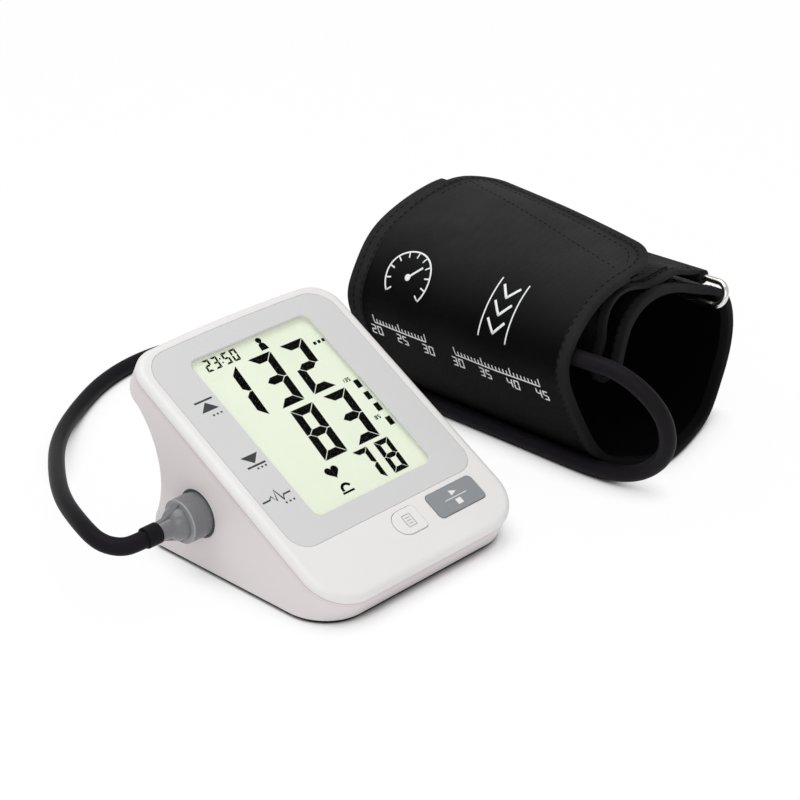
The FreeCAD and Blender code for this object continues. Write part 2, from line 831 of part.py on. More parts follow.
def plug_fan():
    """Upright web of the plug, hollowed towards the nozzle on both sides."""
    x_root, x_tip = left_wall_x - plug_reach, left_wall_x - plug_reach - plug_nozzle_reach
    x_mid = (x_root + x_tip) / 2
    y0 = plug_y - plug_web / 2
    mid = (plug_web_root + plug_nozzle_tip) / 2 - plug_web_sag
    spots = [Vector(x_root, y0, plug_height + plug_web_root), Vector(x_mid, y0, plug_height + mid),
             Vector(x_tip, y0, plug_height + plug_nozzle_tip),
             Vector(x_tip, y0, plug_height - plug_nozzle_tip),
             Vector(x_mid, y0, plug_height - mid), Vector(x_root, y0, plug_height - plug_web_root)]
    outline = [Part.Arc(*spots[:3]).toShape(), Part.makeLine(spots[2], spots[3]),
               Part.Arc(*spots[3:]).toShape(), Part.makeLine(spots[5], spots[0])]
    return Part.Face(Part.Wire(outline)).extrude(Y_AXIS * plug_web)


def plug_seal():
    spot = plug_at(plug_end_gap - socket_well - spigot_length + seal_from_end)
    return Part.makeTorus(seal_middle, seal_section, Vector(*spot), X_AXIS)


def hose_collar():
    tip = plug_reach + plug_nozzle_reach
    body = rod(collar_radius, plug_at(tip), plug_at(tip + collar_length))
    body = body.makeFillet(collar_round, [e for e in body.Edges if e.Curve.TypeId == "Part::GeomCircle"])
    return body.cut(rod(hose_radius + collar_gap, plug_at(tip), plug_at(tip + collar_length)))


def route_wire(points):
    """Straight runs joined by tangent arcs, each as large as its two runs allow."""
    edges = []
    radii = []
    start = points[0]
    for before, spot, after in zip(points, points[1:], points[2:]):
        back, ahead = before - spot, after - spot
        reach = arc_share * min(back.Length, ahead.Length)
        half_turn = (math.pi - back.getAngle(ahead)) / 2
        radius = reach / math.tan(half_turn)
        radii.append(radius)
        back.normalize()
        ahead.normalize()
        into, out = spot + back * reach, spot + ahead * reach
        inward = back + ahead
        inward.normalize()
        middle = spot + inward * (radius / math.cos(half_turn) - radius)
        edges += [Part.LineSegment(start, into).toShape(), Part.Arc(into, middle, out).toShape()]
        start = out
    edges.append(Part.LineSegment(start, points[-1]).toShape())
    return Part.Wire(edges), radii


def air_hose():
    route, radii = route_wire(hose_points)
    start = hose_points[0]
    heading = hose_points[1] - start
    solids = []
    for radius in (hose_radius, hose_bore):
        ring = Part.Wire(Part.makeCircle(radius, start, heading))
        solids.append(route.makePipeShell([ring], True, False))
    hose = solids[0].cut(solids[1])
    section = math.pi * (hose_radius ** 2 - hose_bore ** 2)
    print("hose length %.1f, least radius %.1f, volume share %.4f"
          % (route.Length, min(radii), hose.Volume / (section * route.Length)))
    print("hose radii", " ".join("%.0f" % r for r in radii))
    return hose


def cell_spots():
    return [monitor_x + (i - (cell_count - 1) / 2) * cell_pitch for i in range(cell_count)]


def battery_cells():
    """Cells side by side, each turned end for end from the last."""
    cells = []
    y0, y1 = bay_front_y + contact_space, bay_rear_y - contact_space
    for i, x in enumerate(cell_spots()):
        nub_end, flat_end, step = (y0, y1, cell_nub) if i % 2 else (y1, y0, -cell_nub)
        can = rod(cell_radius, (x, nub_end + step, cell_axis_height), (x, flat_end, cell_axis_height))
        nub = rod(cell_nub_radius, (x, nub_end, cell_axis_height), (x, nub_end + step, cell_axis_height))
        cells.append(can.fuse(nub))
    return cells


def contacts(groups, wall_y, inward):
    """Contact plates on one end wall, each with a sprung boss for every cell that it serves."""
    plates = []
    half = contact_side / 2
    spots = cell_spots()
    for group in groups:
        xs = [spots[i] for i in group]
        y_plate = wall_y + inward * contact_thick
        y_tip = wall_y + inward * (contact_space - contact_gap)
        leaf = block(min(xs) - half, max(xs) + half, min(wall_y, y_plate), max(wall_y, y_plate),
                     cell_axis_height - half, cell_axis_height + half)
        bosses = [rod(contact_boss_radius, (x, y_plate, cell_axis_height), (x, y_tip, cell_axis_height))
                  for x in xs]
        plates.append(leaf.fuse(bosses))
    return plates


def battery_door():
    door = door_path(0).common(case_outside)
    door = door.cut(block(monitor_x - bay_half - door_tongue, monitor_x + bay_half + door_tongue,
                          bay_front_y - door_gap, bay_front_y + door_gap, 0, 2 * door_top))
    side = door_half + door_tongue + door_gap
    for x0, x1 in ((-side, -door_half), (door_half, side)):
        door = door.cut(block(monitor_x + x0, monitor_x + x1, bay_rear_y, base_rear_y + wall,
                              0, 2 * door_top))
    ridges = []
    for i in range(grip_count):
        y = base_rear_y - grip_from_rear - i * grip_pitch
        ridges.append(block(monitor_x - grip_half, monitor_x + grip_half, y - grip_width, y,
                            base_height - grip_depth, base_height + grip_depth))
    return door.cut(ridges)


def soft_path():
    """Smooth curve through the chosen points of the band's outer side, ending over the ring."""
    spots = [roll_point(s) for s in wrap_shares]
    spots += [ring_point(*offset) for offset in through_ring]
    spots += [roll_point(s) for s in inner_shares]
    spots.append(ring_point(0, loop_bore))
    curve = Part.BSplineCurve()
    curve.interpolate(spots)
    return curve.toShape()


def path_spot(reach):
    """Point of the band and its outward direction, at a distance from the free edge."""
    place = band.getParameterByLength(reach)
    heading = band.tangentAt(place)
    return band.valueAt(place), Vector(heading.z, 0, -heading.x)


def stations(start, end):
    """Places along the band that all layers share, between a layer's own two ends."""
    clear = sample_step / 2
    first, last = math.ceil((start + clear) / sample_step), math.floor((end - clear) / sample_step)
    return [start] + [i * sample_step for i in range(first, last + 1)] + [end]


def layer(start, end, outside, inside, y0, y1):
    """Sheet along the band between two depths below its outer side, from y0 to y1."""
    spots = [path_spot(reach) for reach in stations(start, end)]
    outer, inner = Part.BSplineCurve(), Part.BSplineCurve()
    outer.interpolate([p - n * outside for p, n in spots])
    inner.interpolate([p - n * inside for p, n in reversed(spots)])
    first, second = outer.toShape(), inner.toShape()
    near_end = Part.makeLine(first.valueAt(first.LastParameter), second.valueAt(second.FirstParameter))
    far_end = Part.makeLine(second.valueAt(second.LastParameter), first.valueAt(first.FirstParameter))
    face = Part.Face(Part.Wire([first, near_end, second, far_end]))
    face.translate(Y_AXIS * y0)
    return face.extrude(Y_AXIS * (y1 - y0))


def flap_layer(start, end, outside, inside, margin):
    """Layer of the flap with rounded corners at its free edge."""
    sheet = layer(start, end, outside, inside, cuff_front + margin, cuff_rear - margin)
    free = path_spot(start)[0].x
    sewn = path_spot(end)[0].x
    outline = plate(sewn - flap_length, free, cuff_front + margin, cuff_rear - margin, 0, 2 * roll_height,
                    (0, flap_corner - margin, flap_corner - margin, 0))
    return sheet.common(outline)


def cuff_flap():
    return flap_layer(0, flap_length, 0, flap_cloth, 0)


def hook_patch():
    top = flap_cloth + layer_gap
    return flap_layer(hook_margin, flap_length - hook_margin, top, top + hook_thick, hook_margin)


def cuff_outer_cloth():
    return layer(flap_length + seam_gap, wrap_length, 0, cloth, cuff_front, cuff_rear)


def cuff_bladder():
    return layer(bladder_start, bladder_start + bladder_length, bladder_out, bladder_in,
                 cuff_front + bladder_margin, cuff_rear - bladder_margin)


def cuff_lining():
    sheet = layer(flap_length + seam_gap, wrap_length, bladder_in + layer_gap, cloth_stack,
                  cuff_front, cuff_rear)
    return sheet.cut(rod(nipple_stem + nipple_stem_gap, (cuff_x - 2 * roll_half, nipple_y, hose_end.z),
                         (hose_end.x, nipple_y, hose_end.z)))


def binding(edge_y, inward):
    """Tape folded over one edge of the cuff, outside, end and inside in one."""
    start, end = flap_length + binding_from_seam, wrap_length - binding_thick
    lap = edge_y + inward * binding_lap
    fold = edge_y - inward * layer_gap
    outer_y = fold - inward * binding_thick
    y0, y1 = min(lap, outer_y), max(lap, outer_y)
    out, into = -layer_gap, cloth_stack + layer_gap
    tape = layer(start, end, out - binding_thick, out, y0, y1)
    tape = tape.fuse(layer(start, end, into, into + binding_thick, y0, y1))
    return tape.fuse(layer(start, end, out, into, min(fold, outer_y), max(fold, outer_y)))


def ring_strap():
    """Strap with the loop that is sewn round the ring's upper wire."""
    y0, y1 = cuff_front + strap_margin, cuff_rear - strap_margin
    loop = rod(loop_bore + strap_thick, (ring_x, y0, ring_height), (ring_x, y1, ring_height))
    sheet = layer(wrap_length, band.Length, 0, strap_thick, y0, y1)
    return sheet.fuse(loop).cut(rod(loop_bore, (ring_x, y0, ring_height), (ring_x, y1, ring_height)))


def loop_patch():
    end = band.Length - loop_start
    return layer(end - loop_length, end, strap_thick + layer_gap, strap_thick + layer_gap + loop_thick,
                 cuff_front + strap_margin + hook_margin, cuff_rear - strap_margin - hook_margin)


def cuff_ring():
    """Long wire ring with round ends that stand out beyond both edges of the cuff."""
    lean = Vector(math.cos(math.radians(ring_lean)), 0, math.sin(math.radians(ring_lean)))
    upper = Vector(ring_x, 0, ring_height)
    lower = upper - lean * ring_span
    y0, y1 = cuff_front - ring_over + ring_span / 2, cuff_rear + ring_over - ring_span / 2
    solids = [rod(wire_radius, foot + Y_AXIS * y0, foot + Y_AXIS * y1) for foot in (upper, lower)]
    turn_axis = lean.cross(Y_AXIS)
    for y, side in ((y0, 1), (y1, -1)):
        section = Part.Face(Part.Wire(Part.makeCircle(wire_radius, upper + Y_AXIS * y, Y_AXIS)))
        solids.append(section.revolve((upper + lower) / 2 + Y_AXIS * y, turn_axis * -side, 180))
    return solids[0].fuse(solids[1:]).removeSplitter()


def bladder_nipple():
    """Joint between hose and bladder, its stem carried through the lining."""
    body = rod(nipple_radius, hose_end, hose_end + Y_AXIS * nipple_length)
    middle = Vector(hose_end.x, nipple_y, hose_end.z)
    far = middle - X_AXIS * roll_half
    stem = rod(nipple_stem, middle, far)
    outside = layer(bladder_start, bladder_start + bladder_length, -roll_half, bladder_in,
                    cuff_front, cuff_rear)
    barb_tip = hose_end - Y_AXIS * barb_length
    body = body.fuse([stem.cut(outside), rod(barb_radius, hose_end, barb_tip)])
    return body.cut([rod(plug_bore, barb_tip, middle), rod(plug_bore, middle, far)]).removeSplitter()


case_outside = rounded_case()
case_inside = case_solid(wall, face_wall)
band = soft_path()
pieces = {
    "front_cover": front_cover(), "rear_cover": rear_cover(), "display_panel": display_panel(),
    "window_lens": window_lens(), "lcd_glass": lcd_glass(), "lcd_holder": lcd_holder(),
    "connector_strips": connector_strips(), "main_board": main_board(), "board_screws": board_screws(),
    "start_key": key(start_plate, start_u), "memory_key": key(memory_plate, memory_u),
    "start_plunger": switch_plunger(start_u), "memory_plunger": switch_plunger(memory_u),
    "key_switches": key_switches(), "main_chip": main_chip(), "beeper": beeper(),
    "pressure_sensor": pressure_sensor(), "pump_motor": pump_motor(), "pump_head": pump_head(),
    "pump_shaft": pump_shaft(), "pump_cushion": pump_cushion(), "release_valve": release_valve(),
    "valve_plunger": valve_plunger(), "air_manifold": air_manifold(), "air_socket": air_socket(),
    "air_plug": air_plug(), "plug_seal": plug_seal(), "hose_collar": hose_collar(), "air_hose": air_hose(),
    "battery_cells": battery_cells(), "front_contacts": contacts([(0, 1), (2, 3)], bay_front_y, 1),
    "rear_contacts": contacts([(0,), (1, 2), (3,)], bay_rear_y, -1), "battery_door": battery_door(),
    "rubber_feet": rubber_feet(), "case_screws": case_screws(), "cuff_flap": cuff_flap(),
    "hook_patch": hook_patch(), "cuff_outer_cloth": cuff_outer_cloth(), "cuff_bladder": cuff_bladder(),
    "cuff_lining": cuff_lining(), "front_binding": binding(cuff_front, 1),
    "rear_binding": binding(cuff_rear, -1), "ring_strap": ring_strap(), "loop_patch": loop_patch(),
    "cuff_ring": cuff_ring(), "bladder_nipple": bladder_nipple()}

os.makedirs("parts", exist_ok=True)
for name, piece in pieces.items():
    solids = [s for p in piece for s in p.Solids] if isinstance(piece, list) else piece.Solids
    shape = solids[0] if len(solids) == 1 else Part.makeCompound(solids)
    shape.exportStep("parts/%s.step" % name)
    print("%-17s %d solids, %.0f mm3, valid %s" % (name, len(solids), shape.Volume, shape.isValid()))
print("band %.1f long" % band.Length)
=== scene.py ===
import math

import bpy
import numpy as np
from bpy.props import FloatProperty, FloatVectorProperty, PointerProperty
from mathutils import Matrix, Vector


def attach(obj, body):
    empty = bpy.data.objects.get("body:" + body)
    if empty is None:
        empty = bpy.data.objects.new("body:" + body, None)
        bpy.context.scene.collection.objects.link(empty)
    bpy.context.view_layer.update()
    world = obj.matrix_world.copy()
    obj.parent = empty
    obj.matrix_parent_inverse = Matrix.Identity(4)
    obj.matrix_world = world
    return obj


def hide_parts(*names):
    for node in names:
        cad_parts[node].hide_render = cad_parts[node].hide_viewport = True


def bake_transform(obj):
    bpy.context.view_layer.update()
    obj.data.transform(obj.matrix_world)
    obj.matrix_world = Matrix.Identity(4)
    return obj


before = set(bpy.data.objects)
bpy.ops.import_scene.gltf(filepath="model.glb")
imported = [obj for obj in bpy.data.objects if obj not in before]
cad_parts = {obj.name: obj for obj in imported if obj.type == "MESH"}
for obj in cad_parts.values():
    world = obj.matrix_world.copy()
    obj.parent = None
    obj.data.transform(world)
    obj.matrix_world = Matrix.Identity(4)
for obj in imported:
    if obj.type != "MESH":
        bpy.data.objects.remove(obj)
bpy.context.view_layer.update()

bl_info = {
    "name": "Blood pressure monitor dressing",
    "version": (1, 0, 0),
    "blender": (4, 5, 0),
    "location": "View3D > Sidebar > Monitor",
    "description": "Dresses a packed blood pressure monitor, its air hose and its arm cuff",
    "category": "Object",
}

MM = 0.001

# Sloping face of the monitor (mm): its origin in the frame, its tilt, and places on it.
FACE_ORIGIN = (-78.0, -10.0, 57.0)
FACE_TILT = math.radians(31.0)
WINDOW_SHIFT = 1.0
FIGURE_SHIFT = (3.4, 1.0)
DISPLAY_LEVEL = -2.9
KEY_TOP = 0.5
PARTING = 3.6
PLUG_SHOULDER = -143.5
START_SPOT = (29.7, -64.2)
MEMORY_SPOT = (2.3, -64.2)

# Printed marks (mm): how far they stand over their ground and how thick they are.
MARK_LIFT, MARK_DEPTH = 0.03, 0.03
FIGURE_LIFT, FIGURE_DEPTH = 0.05, 0.04
PRINT_LIFT, PRINT_DEPTH = 0.09, 0.05

# Display rows (mm from the window's middle): figures, left ends, foot, width, height, bar and gap.
FIGURE_ROWS = [
    ("132", (-30.84, -11.17, 6.98), 6.96, 12.69, 27.84, 3.93, 0.254),
    ("83", (-11.68, 7.11), -23.4, 12.69, 27.6, 3.93, 0.254),
    ("78", (0.25, 12.44), -42.24, 8.12, 16.92, 2.41, 0.178),
    ("23", (-28.43, -24.12), 36.6, 3.3, 6.36, 0.96, 0.102),
    ("50", (-18.28, -13.83), 36.6, 3.3, 6.36, 0.96, 0.102),
    ("135", (22.97, 24.62, 26.27), 6.0, 1.27, 2.04, 0.43, 0.051),
    ("85", (23.73, 25.38), -16.2, 1.27, 2.04, 0.43, 0.051)]
FIGURE_SLANT = 0.09

# Signs of the display (mm from the window's middle).
COLON_DOTS, COLON_RADIUS = ((-19.29, 40.8), (-19.29, 38.52)), 0.42
LEVEL_ENDS = ((0.96, 5.4), (-6.0, -1.8), (-12.96, -8.64), (-21.36, -16.8))
LEVEL_LEFT, LEVEL_WIDTH, LEVEL_LEAN = 27.8, 2.79, 0.25
DASH_LEFT, DASH_STEP, DASH_WIDTH, DASH_LEAN = 25.13, 2.41, 1.52, 0.13
DASH_ENDS = (28.8, 30.48)
HEART_SPOT, HEART_MIDDLE, HEART_SCALE = (-12.57, -29.04), (-12.57, -29.52), 0.215
HEAD_SPOT, HEAD_RADIUS = (2.92, 41.76), 1.45
BODY_SPOT, BODY_MIDDLE, BODY_RADIUS = (2.92, 38.64), (2.92, 37.68), 1.75
BODY_FEET = [(0.89, 36.36), (4.95, 36.36)]
BELL_SPOT, BELL_RADIUS, BELL_STROKE = (-12.18, -38.64), 2.3, 1.3
BELL_LEFT, BELL_WIDTH, BELL_ENDS = -15.74, 6.35, (-40.8, -39.84)

# Signs on the panel (mm from the window's middle): arrows as base, tip and bar, a pulse line and dots.
ARROW_MIDDLE, ARROW_HALF, ARROW_TIP_HALF = -39.98, 4.44, 0.13
ARROWS = ((19.44, 23.76, 24.96), (-6.48, -10.8, -12.0))
ARROW_BAR_HALF, ARROW_BAR = 4.7, 0.9
PULSE_LINE = [
    (-50.01, -28.8), (-46.2, -28.8), (-44.8, -27.36), (-43.41, -30.36), (-41.76, -25.2), (-40.11, -31.2),
    (-38.97, -28.8), (-35.28, -28.8)]
PULSE_STROKE = 0.8
PANEL_DOTS_U, PANEL_DOTS_V, PANEL_DOT = (-40.36, -38.33, -36.3), (16.8, -13.68, -32.76), 0.5

# Signs on the keys (mm from the key's middle).
KEY_BAR_HALF, KEY_BAR = 6.3, 0.16
START_ARROW = [(-1.5, 1.0), (1.9, 2.35), (1.9, 2.45), (-1.5, 3.8)]
STOP_HALF, STOP_ENDS = 1.5, (-3.9, -1.1)
PAGE = [(-2.2, -2.8), (2.2, -2.8), (2.2, 2.8), (-2.2, 2.8)]
PAGE_STROKE, PAGE_STEP = 0.42, 0.7
PAGE_LINES, PAGE_LINE_HALF, PAGE_LINE = (-1.4, 0.0, 1.4), 1.3, 0.4

# Print on the cuff (mm): across from its left end and up from the band's free edge.
PRINT_START = 58.0
DIAL, DIAL_RADIUS, DIAL_STROKE, HUB_RADIUS = np.array([25.0, -82.0]), 13.5, 0.9, 1.7
DIAL_SWEEP, DIAL_TICK_TURN = (-40, 220), 26
DIAL_TICK, DIAL_TICK_STROKE = (10.2, 13.0), 0.75
NEEDLE, NEEDLE_STROKE = (6.4, 6.8), 1.1
CHEVRON_TIP, CHEVRON_RISES = np.array([84.0, -92.0]), (0.0, 8.5, 17.0)
CHEVRON_HALF, CHEVRON_DEPTH, CHEVRON_STROKE = 5.0, 6.0, 1.3
RAIL_HALF, RAIL_ENDS, RAIL_STROKE = 8.0, (26.0, -3.0), 0.75
SCALES = ((6.0, -110.0, 17, ("20", "25", "30")), (59.0, -111.0, 25, ("30", "35", "40", "45")))
TICK_STEP, TICKS_EACH, TICK_LONG, TICK_SHORT = 2.15, 8, 4.6, 2.6
SCALE_STROKE, TICK_STROKE = 0.8, 0.6
NUMBER_DROP, NUMBER_BACK, NUMBER_STEP = 7.4, 3.8, 4.1
NUMBER_WIDTH, NUMBER_HEIGHT, NUMBER_BAR, NUMBER_GAP, NUMBER_SLANT = 3.2, 5.6, 0.75, 0.05, 0.05
FINE_STEP, COARSE_STEP = 1.0, 1.2

# Arm cuff: points of the band's outer side, as in the part's source.
CUFF_X, ROLL_HALF, ROLL_HEIGHT = 74.5, 59.0, 97.0
RING_X, RING_HEIGHT, LOOP_BORE = 114.998, 71.004, 1.7
WRAP_SHARES = [
    (0.390, 0.974), (0.161, 0.992), (-0.076, 0.982), (-0.331, 0.954), (-0.585, 0.905), (-0.797, 0.825),
    (-0.949, 0.711), (-0.998, 0.619), (-0.945, 0.474), (-0.790, 0.256), (-0.606, 0.096), (-0.475, 0.037),
    (-0.314, 0.019), (0.060, 0.016), (0.432, 0.018), (0.610, 0.034), (0.791, 0.114), (0.892, 0.216),
    (0.959, 0.326), (0.985, 0.443), (0.958, 0.546), (0.890, 0.619)]
THROUGH_RING = [(5.5, -6.7), (-7.2, -1.85)]
INNER_SHARES = [
    (0.361, 0.763), (0.195, 0.789), (0.031, 0.794), (-0.100, 0.778), (-0.195, 0.748), (-0.276, 0.703),
    (-0.329, 0.648), (-0.378, 0.570), (-0.403, 0.505), (-0.422, 0.467), (-0.461, 0.457), (-0.500, 0.467),
    (-0.517, 0.500), (-0.512, 0.541), (-0.493, 0.593), (-0.473, 0.660), (-0.473, 0.713), (-0.439, 0.769),
    (-0.369, 0.806), (-0.275, 0.822), (-0.159, 0.824), (0.034, 0.816), (0.269, 0.804), (0.492, 0.779)]
FRONT_Y, REAR_Y, OUTER_REAR_Y = -70.0, 70.0, 63.5
FLAP_SEAM, WRAP_END = 40.0, 391.0
BAND_STEPS, LEAD, LEAD_STEPS = 6000, 24.0, 60
FLAP_SKEW, FLAP_MIDDLE, FLAP_CORNER = -0.21, 2.0, 18.0
OUTER_PLY, LINING_TOP, LINING_LOW = 1.2, 1.5, 2.8
STRAP_FRONT, STRAP_REAR, STRAP_THICK, STRAP_LOW = -66.0, 66.0, 1.6, 0.1

# How the cloth departs from the plain roll (mm): how much, then where along the band and how widely,
# or the stretch of the band over which it comes in or fades.
TOP_SINK, TOP_SINK_PLACE = 3.0, (20.0, 32.0)
TOP_RISE, TOP_RISE_PLACE = 1.7, (26.0, 34.0)
SHOULDER_LEAN, SHOULDER_PLACE = 3.4, (84.0, 18.0)
WRAP_FADE = (120.0, 165.0)
RIPPLE, RIPPLE_STARTS, RIPPLE_WAVES = 0.35, (30.0, 60.0), (9.5, 21.0, 13.0, 0.7)
STRAP_RIPPLE, STRAP_EDGE, STRAP_SHARE, STRAP_WAVES = 0.9, 45.0, 0.4, (6.2, 17.0)
STRAP_STARTS, STRAP_FADES = (WRAP_END + 4.0, WRAP_END + 20.0), (22.0, 8.0)
FRONT_LEAN, LEAN_STARTS, LEAN_FADES = 15.0, (158.0, 184.0), (180.0, 250.0)

# Trims (mm): how far short of the wrap's end, the band's end or the flap's seam a piece stops.
CLOTH_TRIM, LINING_TRIM, TAPE_TRIM, SEAM_TRIM = 1.5, 1.0, 0.5, 3.0
STRAP_TRIM, STRAP_TAPE_TRIM, PATCH_SEAM_TRIM = 1.0, 5.0, 1.0

# Sewing (mm): cloth ends inside its tape, seams inside the tape's inner edge, and patches inside the cloth.
CLOTH_INSET, FLAP_INSET, SEAM_INSET, PATCH_INSET, LOOP_INSET = 0.5, 0.4, 0.9, 7.0, 6.0
TAPE_PROUD, THIN_PROUD, INNER_PROUD, FLAP_PROUD = 0.5, 0.35, 0.4, 0.45
LINING_START, INNER_TAPE_START, HOOK_END = 34.0, 14.0, 34.0
HOOK_TOP, HOOK_LOW = OUTER_PLY + 0.05, OUTER_PLY + 1.1
LOOP_TOP, LOOP_LOW = STRAP_THICK + 1.0, STRAP_THICK - 0.05
LOOP_PATCH_ENDS = (64.0, 20.0)
THREAD, FINE_THREAD, PATCH_THREAD = 0.3, 0.26, 0.24
SECOND_ROW, SECOND_ROW_TRIM = 3.2, 16
PATCH_SEAM, PATCH_SEAM_SKEW, PATCH_SEAM_INSETS = FLAP_MIDDLE + 21.0, FLAP_SKEW * 1.2, (9.0, 6.0)

# Hose route (mm): the points of the part's source, eased into a rounder bend near the plug and
# set against the cuff's cloth beside it.
HOSE_ROUTE = [
    (-155.0, -0.3, 28.2), (-164.5, -0.3, 27.8), (-172.0, 1.8, 27.4), (-176.8, 10.0, 28.8),
    (-175.0, 24.0, 31.0), (-163.0, 54.5, 27.3), (-141.0, 90.5, 19.5), (-112.5, 130.5, 9.5),
    (-82.0, 160.0, 3.85), (-47.0, 180.0, 3.85), (-13.0, 184.5, 3.85), (16.0, 173.5, 3.85),
    (34.0, 148.5, 3.85), (40.5, 111.5, 3.85), (39.1, 65.5, 3.85), (38.4, 17.5, 3.85), (38.0, -24.5, 3.85),
    (37.0, -72.0, 3.85), (40.5, -92.0, 8.0), (40.0, -108.0, 24.0), (34.0, -109.5, 46.5),
    (27.4, -92.5, 62.5), (24.0, -69.5, 63.5), (24.0, -42.5, 63.5)]
HOSE_LENGTH, HOSE_SIDES = 0.7, 24

# Floor, lamps and camera (m): the floor's half width and drop below the part, the reach and curve of
# its contact shadow, which is painted into its glow, the share of open sky under which a slot is painted
# dark as shade, its painted shade colour, and the share that is lit white.
FLOOR_HALF, FLOOR_DROP = 6.0, 0.00005
SHADOW_REACH, SHADOW_CURVE, SHADOW_SAMPLES = 0.012, 1.3, 16
SLOT_SKY, SLOT_PAINTED_SHADE, FLOOR_WHITE = (0.2, 0.45), (3, 3, 3), 0.95
OVERHEAD_LAMP = {"spot": (-0.15, 0.1, 1.3), "target": (0, 0, 0), "width": 1.2, "height": 1.0}
SIDE_LAMP = {"spot": (-1.0, -0.9, 0.7), "target": (0, 0, 0.05), "width": 0.8, "height": 0.8}
CAMERA_SPOT = (-0.60221, -0.62499, 0.45129)
CAMERA_RIGHT, CAMERA_UP = (0.71406, -0.698688, -0.044194), (0.33349, 0.283965, 0.898971)
CAMERA_BACK = (-0.615551, -0.656657, 0.435774)
SENSOR, LENS, CLIP = 36.0, 96.274, (0.05, 50.0)

# Middle range of a noise node's values, used to spread grain over a finish.
GRAIN = (0.3, 0.7)


def linear(colour):
    """Linear colour with alpha for a screen colour from 0 to 1."""
    c = np.asarray(colour[:3], float)
    c = np.where(c <= 0.04045, c / 12.92, ((c + 0.055) / 1.055) ** 2.4)
    return (*[float(v) for v in c], 1.0)


def tone(red, green, blue):
    """Screen colour from 0 to 1 for values from 0 to 255."""
    return (red / 255, green / 255, blue / 255)


def shade(colour, factor, lift=0.0):
    """A screen colour times a factor plus a lift, held between 0 and 1."""
    return tuple(min(1.0, max(0.0, c * factor + lift)) for c in colour)


# Shader tools


class Link:
    """An output socket of a finish; arithmetic on it adds Math nodes."""

    def __init__(self, finish, socket):
        self.finish, self.socket = finish, socket

    def maths(self, operation, first, second):
        return self.finish.node("ShaderNodeMath", {"operation": operation}, {0: first, 1: second})

    def __add__(self, other):
        return self.maths("ADD", self, other)

    __radd__ = __add__

    def __sub__(self, other):
        return self.maths("SUBTRACT", self, other)

    def __rsub__(self, other):
        return self.maths("SUBTRACT", other, self)

    def __mul__(self, other):
        return self.maths("MULTIPLY", self, other)

    __rmul__ = __mul__

    def __pow__(self, other):
        return self.maths("POWER", self, other)

    def __rpow__(self, other):
        return self.maths("POWER", other, self)

    def wave(self):
        return self.maths("SINE", self, 0.0)

    def size(self):
        return self.maths("ABSOLUTE", self, 0.0)


def socket_name(key):
    """Name of a shader socket for a keyword."""
    return key.replace("_", " ").title().replace("Ior", "IOR")


class Finish:
    """A procedural material: a Principled shader and the nodes that feed it."""

    def __init__(self, name, colour, **values):
        self.material = bpy.data.materials.new(name)
        self.material.use_nodes = True
        self.tree = self.material.node_tree
        self.shader = self.tree.nodes["Principled BSDF"]
        self.shader.inputs["Base Color"].default_value = linear(colour)
        for key, value in values.items():
            self.shader.inputs[socket_name(key)].default_value = value

    def join(self, value, socket):
        """Link a value to a socket, or set it there."""
        if isinstance(value, Link):
            self.tree.links.new(value.socket, socket)
        else:
            socket.default_value = value

    def node(self, kind, settings, sockets, output=0):
        """Any node: its type, its settings, which are set first, then its sockets' values or links."""
        made = self.tree.nodes.new(kind)
        for key, value in settings.items():
            setattr(made, key, value)
        for key, value in sockets.items():
            self.join(value, made.inputs[key])
        return Link(self, made.outputs[output])

    def place(self, output="Object"):
        """Texture coordinates: a point's place in the frame, or its place on the UV map."""
        return self.node("ShaderNodeTexCoord", {}, {}, output)

    def noise(self, scale, detail=2.0, rough=0.5):
        """Noise over the piece from 0 to 1; scale counts its lumps in a metre."""
        return self.node("ShaderNodeTexNoise", {}, {
            "Vector": self.place(), "Scale": scale, "Detail": detail, "Roughness": rough}, "Fac")

    def axis(self, where, name):
        """One of the three values of a vector."""
        return self.node("ShaderNodeSeparateXYZ", {}, {0: where}, name)

    def blend(self, share, first, second):
        """Colour mixed from two screen colours or links."""
        pair = [c if isinstance(c, Link) else linear(c) for c in (first, second)]
        return self.node("ShaderNodeMix", {"data_type": "RGBA"}, {0: share, 6: pair[0], 7: pair[1]}, 2)

    def span(self, value, low, high, start, end):
        """A value carried from one range to another, held at the ends."""
        return self.node("ShaderNodeMapRange", {"clamp": True}, {
            "Value": value, "From Min": low, "From Max": high, "To Min": start, "To Max": end})

    def above(self, normal, spot):
        """Height in metres over a plane given by its normal and one of its points."""
        dot = self.node("ShaderNodeVectorMath", {"operation": "DOT_PRODUCT"}, {
            0: self.place(), 1: tuple(normal)}, "Value")
        return dot - sum(a * b for a, b in zip(normal, spot))

    def line(self, height, middle, half):
        """One on a line at a height, falling to zero at half its width."""
        return self.span((height - middle).size(), half * 0.4, half, 1.0, 0.0)

    def feed(self, **links):
        """Values or links for the shader's own sockets."""
        for key, value in links.items():
            self.join(value, self.shader.inputs[socket_name(key)])
        return self

    def relief(self, height, depth, strength=1.0):
        """Bump from a height of 0 to 1 and its depth in metres."""
        return self.feed(Normal=self.node("ShaderNodeBump", {}, {
            "Strength": strength, "Distance": depth, "Height": height}))


def moulded(name, colour, rough=0.42, grain=2600.0, depth=0.00003, drift=0.03, **values):
    """Moulded plastic: faint drift of tone, fine eroded grain and uneven gloss."""
    f = Finish(name, colour, **values)
    cloud = f.noise(18.0, 3.0)
    f.feed(Base_Color=f.blend(cloud, shade(colour, 1, -drift), shade(colour, 1, drift * 0.4)))
    grit = f.noise(grain, 2.0, 0.6)
    f.feed(Roughness=f.span(grit, *GRAIN, rough - 0.06, rough + 0.06))
    return f.relief(grit, depth)


